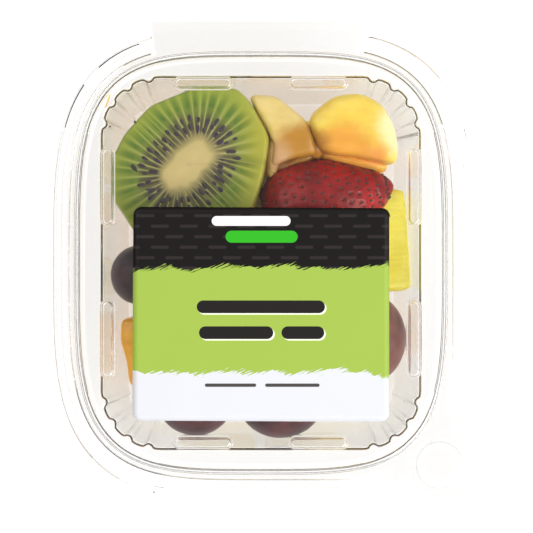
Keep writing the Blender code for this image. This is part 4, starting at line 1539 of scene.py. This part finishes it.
def soft_copy(name, node, swell):
    """A finer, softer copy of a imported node's mesh, a little swollen."""
    deselect_all()
    piece = bpy.data.objects.new(name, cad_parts[node].data.copy())
    bpy.context.scene.collection.objects.link(piece)
    bpy.context.view_layer.objects.active = piece
    piece.select_set(True)
    bpy.ops.object.mode_set(mode="EDIT")
    bpy.ops.mesh.select_all(action="SELECT")
    bpy.ops.mesh.remove_doubles(threshold=0.001 * MM)
    bpy.ops.mesh.customdata_custom_splitnormals_clear()
    bpy.ops.mesh.tris_convert_to_quads()
    bpy.ops.mesh.subdivide(number_cuts=CUTS)
    bpy.ops.mesh.vertices_smooth(factor=0.5, repeat=SMOOTHING)
    bpy.ops.mesh.normals_make_consistent(inside=False)
    bpy.ops.object.mode_set(mode="OBJECT")
    modify(piece, "REMESH", mode="VOXEL", voxel_size=GRAIN, use_smooth_shade=True)
    bpy.ops.object.mode_set(mode="EDIT")
    bpy.ops.mesh.select_all(action="SELECT")
    bpy.ops.mesh.vertices_smooth(factor=0.5, repeat=2)
    for vert in edited().verts:
        slow = noise.noise(vert.co / SLOW_WIDTH)
        fine = noise.noise(vert.co / FINE_WIDTH)
        vert.co += vert.normal * (UNEVENNESS * (slow + FINE_SHARE * fine) + swell)
    bmesh.update_edit_mesh(piece.data)
    bpy.ops.object.mode_set(mode="OBJECT")
    bpy.ops.object.shade_smooth()
    return piece


# %% [markdown]
# ## Flesh of pineapple and mango
# Cut pineapple is wet, translucent and crossed by fibres, and mango is smoother and deeper in
# colour. Both are one material with other colours: a slow mottle between a pale and a deep tone,
# fibres from a noise stretched along one direction, and a film of juice as a clear coat. Round
# patches of painted shade and painted highlight lie on some pieces, and a lighter copy of the
# pineapple paints light on the bright piece at the right.

# %% Material of the flesh
def flesh(name, pale, deep, fibre_length, fibre_width, turn, coat, contrast, zones=()):
    """Flesh between two tones, crossed by fibres. A zone is a patch of painted light and shade: a centre from
    above, a radius and a colour.
    """
    look, tree, out = new_material(name)
    where = add_node(tree, "ShaderNodeTexCoord").outputs["Object"]
    mottle = add_node(tree, "ShaderNodeTexNoise", {"Vector": where, "Scale": 1 / (8 * MM), "Detail": 3.0})
    spread = add_node(
        tree, "ShaderNodeMapRange", {"Value": mottle.outputs[0], "From Min": 0.3, "From Max": 0.7}
    )
    tone = add_node(
        tree,
        "ShaderNodeMix",
        {"Factor": spread.outputs[0], "A": hex_colour(pale), "B": hex_colour(deep)},
        data_type="RGBA",
    )
    ragged = add_node(
        tree, "ShaderNodeTexNoise", {"Vector": where, "Scale": 1 / (3 * MM), "Detail": 3.0}
    )
    flat = add_node(tree, "ShaderNodeVectorMath", {0: where, 1: (1, 1, 0)}, operation="MULTIPLY")
    tone = tone.outputs["Result"]
    # Painted light and painted shade: each zone lays its colour over the flesh in a ragged round patch.
    for centre, radius, painted_tone in zones:
        middle = (centre[0] * MM, centre[1] * MM, 0)
        far = add_node(
            tree, "ShaderNodeVectorMath", {0: flat.outputs[0], 1: middle}, operation="DISTANCE"
        ).outputs["Value"]
        far = add_node(
            tree, "ShaderNodeMath", {0: ragged.outputs[0], 1: 3 * MM, 2: far}, operation="MULTIPLY_ADD"
        )
        share = add_node(
            tree,
            "ShaderNodeMapRange",
            {"Value": far.outputs[0], "From Min": (radius + 4) * MM, "From Max": (radius - 1) * MM},
            interpolation_type="SMOOTHSTEP",
        )
        tone = add_node(
            tree,
            "ShaderNodeMix",
            {"Factor": share.outputs[0], "A": tone, "B": hex_colour(painted_tone)},
            data_type="RGBA",
        ).outputs["Result"]
    turned = add_node(
        tree,
        "ShaderNodeMapping",
        {
            "Vector": where,
            "Rotation": (0, turn / 2, turn),
            "Scale": (1 / fibre_length, 1 / fibre_width, 1 / fibre_width),
        },
    )
    fibres = add_node(
        tree,
        "ShaderNodeTexNoise",
        {"Vector": turned.outputs[0], "Scale": 1.0, "Detail": 3.0, "Roughness": 0.6},
    )
    light = add_node(
        tree,
        "ShaderNodeMapRange",
        {
            "Value": fibres.outputs[0],
            "From Min": 0.35,
            "From Max": 0.7,
            "To Min": 1 - contrast,
            "To Max": 1 + contrast / 2,
        },
    )
    colour = add_node(
        tree,
        "ShaderNodeMix",
        {"Factor": 1.0, "A": tone, "B": light.outputs[0]},
        data_type="RGBA",
        blend_type="MULTIPLY",
    )
    bump = add_node(
        tree, "ShaderNodeBump", {"Height": fibres.outputs[0], "Distance": 0.18 * MM, "Strength": 0.7}
    )
    shader = add_node(
        tree,
        "ShaderNodeBsdfPrincipled",
        {
            "Base Color": colour.outputs["Result"],
            "Roughness": 0.38,
            "IOR": 1.36,
            "Subsurface Weight": 0.3,
            "Subsurface Radius": (1.0, 0.7, 0.2),
            "Subsurface Scale": 2.0 * MM,
            "Coat Weight": coat,
            "Coat Roughness": 0.12,
            "Normal": bump.outputs[0],
        },
    )
    tree.links.new(shader.outputs[0], out.inputs["Surface"])
    return look


TOP_RIGHT_PAINTED_LIGHT = (  # centre in mm, radius in mm, colour: painted shade on the flesh next to the berry, and a painted highlight at the right
    ((40.0, 37.0), 8.0, "#FCF4BC"),
    ((22.5, 29.5), 8.0, "#F2AE42"),
    ((12.5, 30.5), 6.0, "#BC8128"),
    ((31.5, 28.5), 3.0, "#F4A850"),
)
# Painted shade where the pale pineapple meets the kiwi and the berry: centre in mm, radius in mm, colour.
TOP_PALE_PAINTED_SHADE = (
    ((11.0, 29.0), 8.5, "#C08A2A"),
    ((3.0, 29.0), 4.5, "#D2A878"),
)
looks = {
    "yellow pineapple": flesh("fresh_cut_pineapple", "#FFE44E", "#F5C02C", 9 * MM, 0.9 * MM, 0.4, 0.4, 0.12),
    # Painted shade and a painted highlight lie on this pineapple, in the patches above.
    "ripe pineapple": flesh(
        "ripe_cut_pineapple", "#F8E068", "#F4CE48", 11 * MM, 1.8 * MM, 0.9, 0.3, 0.05, TOP_RIGHT_PAINTED_LIGHT
    ),
    # Painted light: a lighter copy of the pineapple flesh for the brightly lit piece at the right.
    "bright pineapple": flesh("pineapple_painted_bright", "#FFF668", "#FFEE50", 9 * MM, 0.9 * MM, 1.4, 0.4, 0.07),
    "pale pineapple": flesh("pale_pineapple_heart", "#FBEBAA", "#F3D873", 12 * MM, 0.8 * MM, 1.0, 0.3, 0.12),
    # Pale pineapple heart with patches of painted shade, also used for the shreds in the gaps.
    "pineapple with painted shade": flesh(
        "pineapple_heart_with_painted_shade",
        "#EEDC98",
        "#E6CD7C",
        12 * MM,
        1.8 * MM,
        1.0,
        0.25,
        0.05,
        TOP_PALE_PAINTED_SHADE,
    ),
    "mango": flesh("ripe_mango_flesh", "#FFC23A", "#FAAE24", 14 * MM, 1.4 * MM, 0.8, 0.5, 0.08),
}
CHUNKS = (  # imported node, look
    ("pineapple_top_right", "ripe pineapple"),
    ("pineapple_top_pale", "pineapple with painted shade"),
    ("pineapple_right", "bright pineapple"),
    ("pineapple_back_left", "yellow pineapple"),
    ("pineapple_back", "yellow pineapple"),
    ("pineapple_middle", "pale pineapple"),
    ("pineapple_left", "pale pineapple"),
    ("pineapple_front_left", "yellow pineapple"),
    ("pineapple_front", "pale pineapple"),
    ("mango_front_left", "mango"),
    ("mango_left", "mango"),
    ("mango_back_right", "mango"),
    ("mango_right_low", "mango"),
    ("mango_middle", "mango"),
    ("mango_right_front", "mango"),
)
SWOLLEN = {"pineapple_top_right": 0.45 * MM, "pineapple_top_pale": 0.45 * MM}  # softest, full of juice
for node, look in CHUNKS:
    piece = soft_copy(node + "_flesh", node, SWOLLEN.get(node, 0.0))
    dress(piece, looks[look], "tray", node.split("_")[0], node)
    print(piece.name, "faces:", len(piece.data.polygons))

# %% [markdown]
# ## The grapes
# Black grapes are firm, slightly long spheres with a small scar where the stalk was. A sphere is
# added at each grape's place and size, a shallow pit is pressed in at its end, and a slow noise
# takes it out of true.

# %% Model the grapes
GRAPES = {  # centre and half axes in mm, way to the scar, and skin
    "grape_left": ((-33.0, -3.3, 29.0), (8.2, 8.2, 8.3), (-0.3, 0.5, 0.8), "black"),
    "grape_right": ((30.5, -20.6, 28.3), (9.2, 11.8, 8.9), (0.7, 0.5, 0.5), "wine"),
    "grape_front_left": ((-18.0, -37.5, 28.1), (10.6, 9.8, 9.5), (0.1, -0.6, 0.7), "plum"),
    "grape_front": ((5.4, -38.0, 28.0), (11.6, 10.0, 9.6), (0.9, -0.3, 0.3), "plum"),
}
SCAR_RADIUS, SCAR_DEPTH = 1.5 * MM, 0.5 * MM
DENT_RISE, DENT_WIDTH = 0.12 * MM, 7 * MM
grape_pieces = []
for node, (centre, half, scar, skin) in GRAPES.items():
    deselect_all()
    bpy.ops.mesh.primitive_uv_sphere_add(
        segments=72, ring_count=48, radius=1, location=[v * MM for v in centre], scale=[v * MM for v in half]
    )
    grape = bpy.context.object
    grape.name = grape.data.name = node + "_skin"
    bpy.ops.object.transform_apply(location=True, rotation=True, scale=True)
    bpy.ops.object.mode_set(mode="EDIT")
    middle = Vector(centre) * MM
    pole = middle + Vector([s * h * MM for s, h in zip(Vector(scar).normalized(), half)])
    for vert in edited().verts:
        away = (vert.co - pole).length / SCAR_RADIUS
        out_of_true = DENT_RISE * noise.noise(vert.co / DENT_WIDTH)
        vert.co -= (vert.co - middle).normalized() * (SCAR_DEPTH * math.exp(-away * away) - out_of_true)
    bmesh.update_edit_mesh(grape.data)
    bpy.ops.object.mode_set(mode="OBJECT")
    bpy.ops.object.shade_smooth()
    grape_pieces.append((grape, node, skin))

# %% Material of the grapes
def grape_skin(name, deep, middle, pale):
    """Skin that is mottled between three tones, under a bloom of pale wax."""
    look, tree, out = new_material(name)
    where = add_node(tree, "ShaderNodeTexCoord").outputs["Object"]
    tone = add_node(tree, "ShaderNodeTexNoise", {"Vector": where, "Scale": 1 / (9 * MM), "Detail": 2.0})
    skin = add_node(
        tree,
        "ShaderNodeValToRGB",
        {"Fac": tone.outputs[0]},
        stops=[(0.3, hex_colour(deep)), (0.55, hex_colour(middle)), (0.75, hex_colour(pale))],
    )
    bloom = add_node(
        tree,
        "ShaderNodeTexNoise",
        {"Vector": where, "Scale": 1 / (3.5 * MM), "Detail": 5.0, "Roughness": 0.6},
    )
    dust = add_node(
        tree,
        "ShaderNodeMapRange",
        {"Value": bloom.outputs[0], "From Min": 0.4, "From Max": 0.75, "To Min": 0.0, "To Max": 0.2},
    )
    colour = add_node(
        tree,
        "ShaderNodeMix",
        {"Factor": dust.outputs[0], "A": skin.outputs[0], "B": hex_colour("#6A5C66")},
        data_type="RGBA",
    )
    rough = add_node(
        tree, "ShaderNodeMapRange", {"Value": dust.outputs[0], "From Max": 0.2, "To Min": 0.3, "To Max": 0.5}
    )
    bump = add_node(
        tree, "ShaderNodeBump", {"Height": bloom.outputs[0], "Distance": 0.02 * MM, "Strength": 0.5}
    )
    shader = add_node(
        tree,
        "ShaderNodeBsdfPrincipled",
        {
            "Base Color": colour.outputs["Result"],
            "Roughness": rough.outputs[0],
            "IOR": 1.4,
            "Specular IOR Level": 0.4,
            "Coat Weight": 0.08,
            "Coat Roughness": 0.2,
            "Normal": bump.outputs[0],
        },
    )
    tree.links.new(shader.outputs[0], out.inputs["Surface"])
    return look


grape_looks = {
    "black": grape_skin("black_grape_skin_with_bloom", "#171014", "#2A1C21", "#482C32"),
    "plum": grape_skin("plum_grape_skin_with_bloom", "#2E191C", "#50292D", "#784644"),
    "wine": grape_skin("wine_grape_skin_with_bloom", "#5E3834", "#85564C", "#A2746A"),
}
for grape, node, skin in grape_pieces:
    dress(grape, grape_looks[skin], "tray", "grape", node)

# %% [markdown]
# ## Bits of fruit
# A shred of mango lies on the tray's ledge, and a few dark specks of seed stick to the kiwi, the
# pineapple and the wall. Soft shreds of pineapple are pressed into the narrow, shaded gaps beside
# the kiwi and the strawberry, and their colours carry painted shade. Each is a sphere, stretched
# or flattened and turned to its place.

# %% Model the bits
BITS = (  # name, look, slot, centre, half axes in mm and turn in degrees
    ("pineapple_speck", "seed", "pineapple", (21.2, 43.4, 38.6), (0.32, 0.28, 0.2), 0),
    ("mango_shred", "mango", "mango", (-41.8, 44.4, 34.6), (0.35, 2.3, 0.18), -15),
    ("kiwi_speck", "seed", "kiwi", (-33.9, 38.0, 41.35), (0.45, 0.3, 0.15), 120),
    ("kiwi_crumb", "seed", "kiwi", (-32.6, 38.5, 41.3), (0.2, 0.14, 0.1), 40),
    ("wall_speck", "seed", "kiwi", (-41.3, 37.3, 30.6), (0.32, 0.26, 0.2), 0),
    # The shreds fill the shaded gaps, and their colours carry painted shade.
    ("shred_by_kiwi_back", "pineapple with painted shade", "pineapple", (1.5, 39.0, 32.4), (2.0, 6.6, 4.0), 28),
    ("shred_by_kiwi", "pineapple with painted shade", "pineapple", (3.3, 29.5, 32.2), (2.0, 6.4, 4.0), -4),
    ("shred_between", "ripe pineapple", "pineapple", (14.1, 33.6, 31.8), (2.6, 5.4, 3.9), 18),
    ("shred_by_berry_left", "pineapple with painted shade", "pineapple", (9.5, 27.6, 29.6), (7.6, 1.9, 3.4), 21),
    ("shred_by_berry_right", "ripe pineapple", "pineapple", (24.6, 28.2, 29.8), (10.4, 2.0, 3.6), -11),
    ("shred_by_heel", "pineapple with painted shade", "pineapple", (0.7, 21.8, 28.4), (1.7, 2.6, 2.2), 0),
)
BIT_DENT, BIT_DENT_WIDTH = 0.2, 1.5 * MM  # share of the shortest half axis, and width
for name, look, slot, centre, half, turn in BITS:
    deselect_all()
    bpy.ops.mesh.primitive_uv_sphere_add(
        segments=32,
        ring_count=20,
        radius=1,
        location=[v * MM for v in centre],
        rotation=(0, 0, math.radians(turn)),
        scale=[v * MM for v in half],
    )
    bit = bpy.context.object
    bit.name = bit.data.name = name
    bpy.ops.object.transform_apply(location=True, rotation=True, scale=True)
    bpy.ops.object.mode_set(mode="EDIT")
    for vert in edited().verts:
        dent = BIT_DENT * min(half) * MM * noise.noise(vert.co / BIT_DENT_WIDTH)
        vert.co += vert.normal * dent
    bmesh.update_edit_mesh(bit.data)
    bpy.ops.object.mode_set(mode="OBJECT")
    bpy.ops.object.shade_smooth()
    dress(bit, seed_look if look == "seed" else looks[look], "tray", slot)

# %% [markdown]
# ## Finish

# %% Deselect everything
deselect_all()
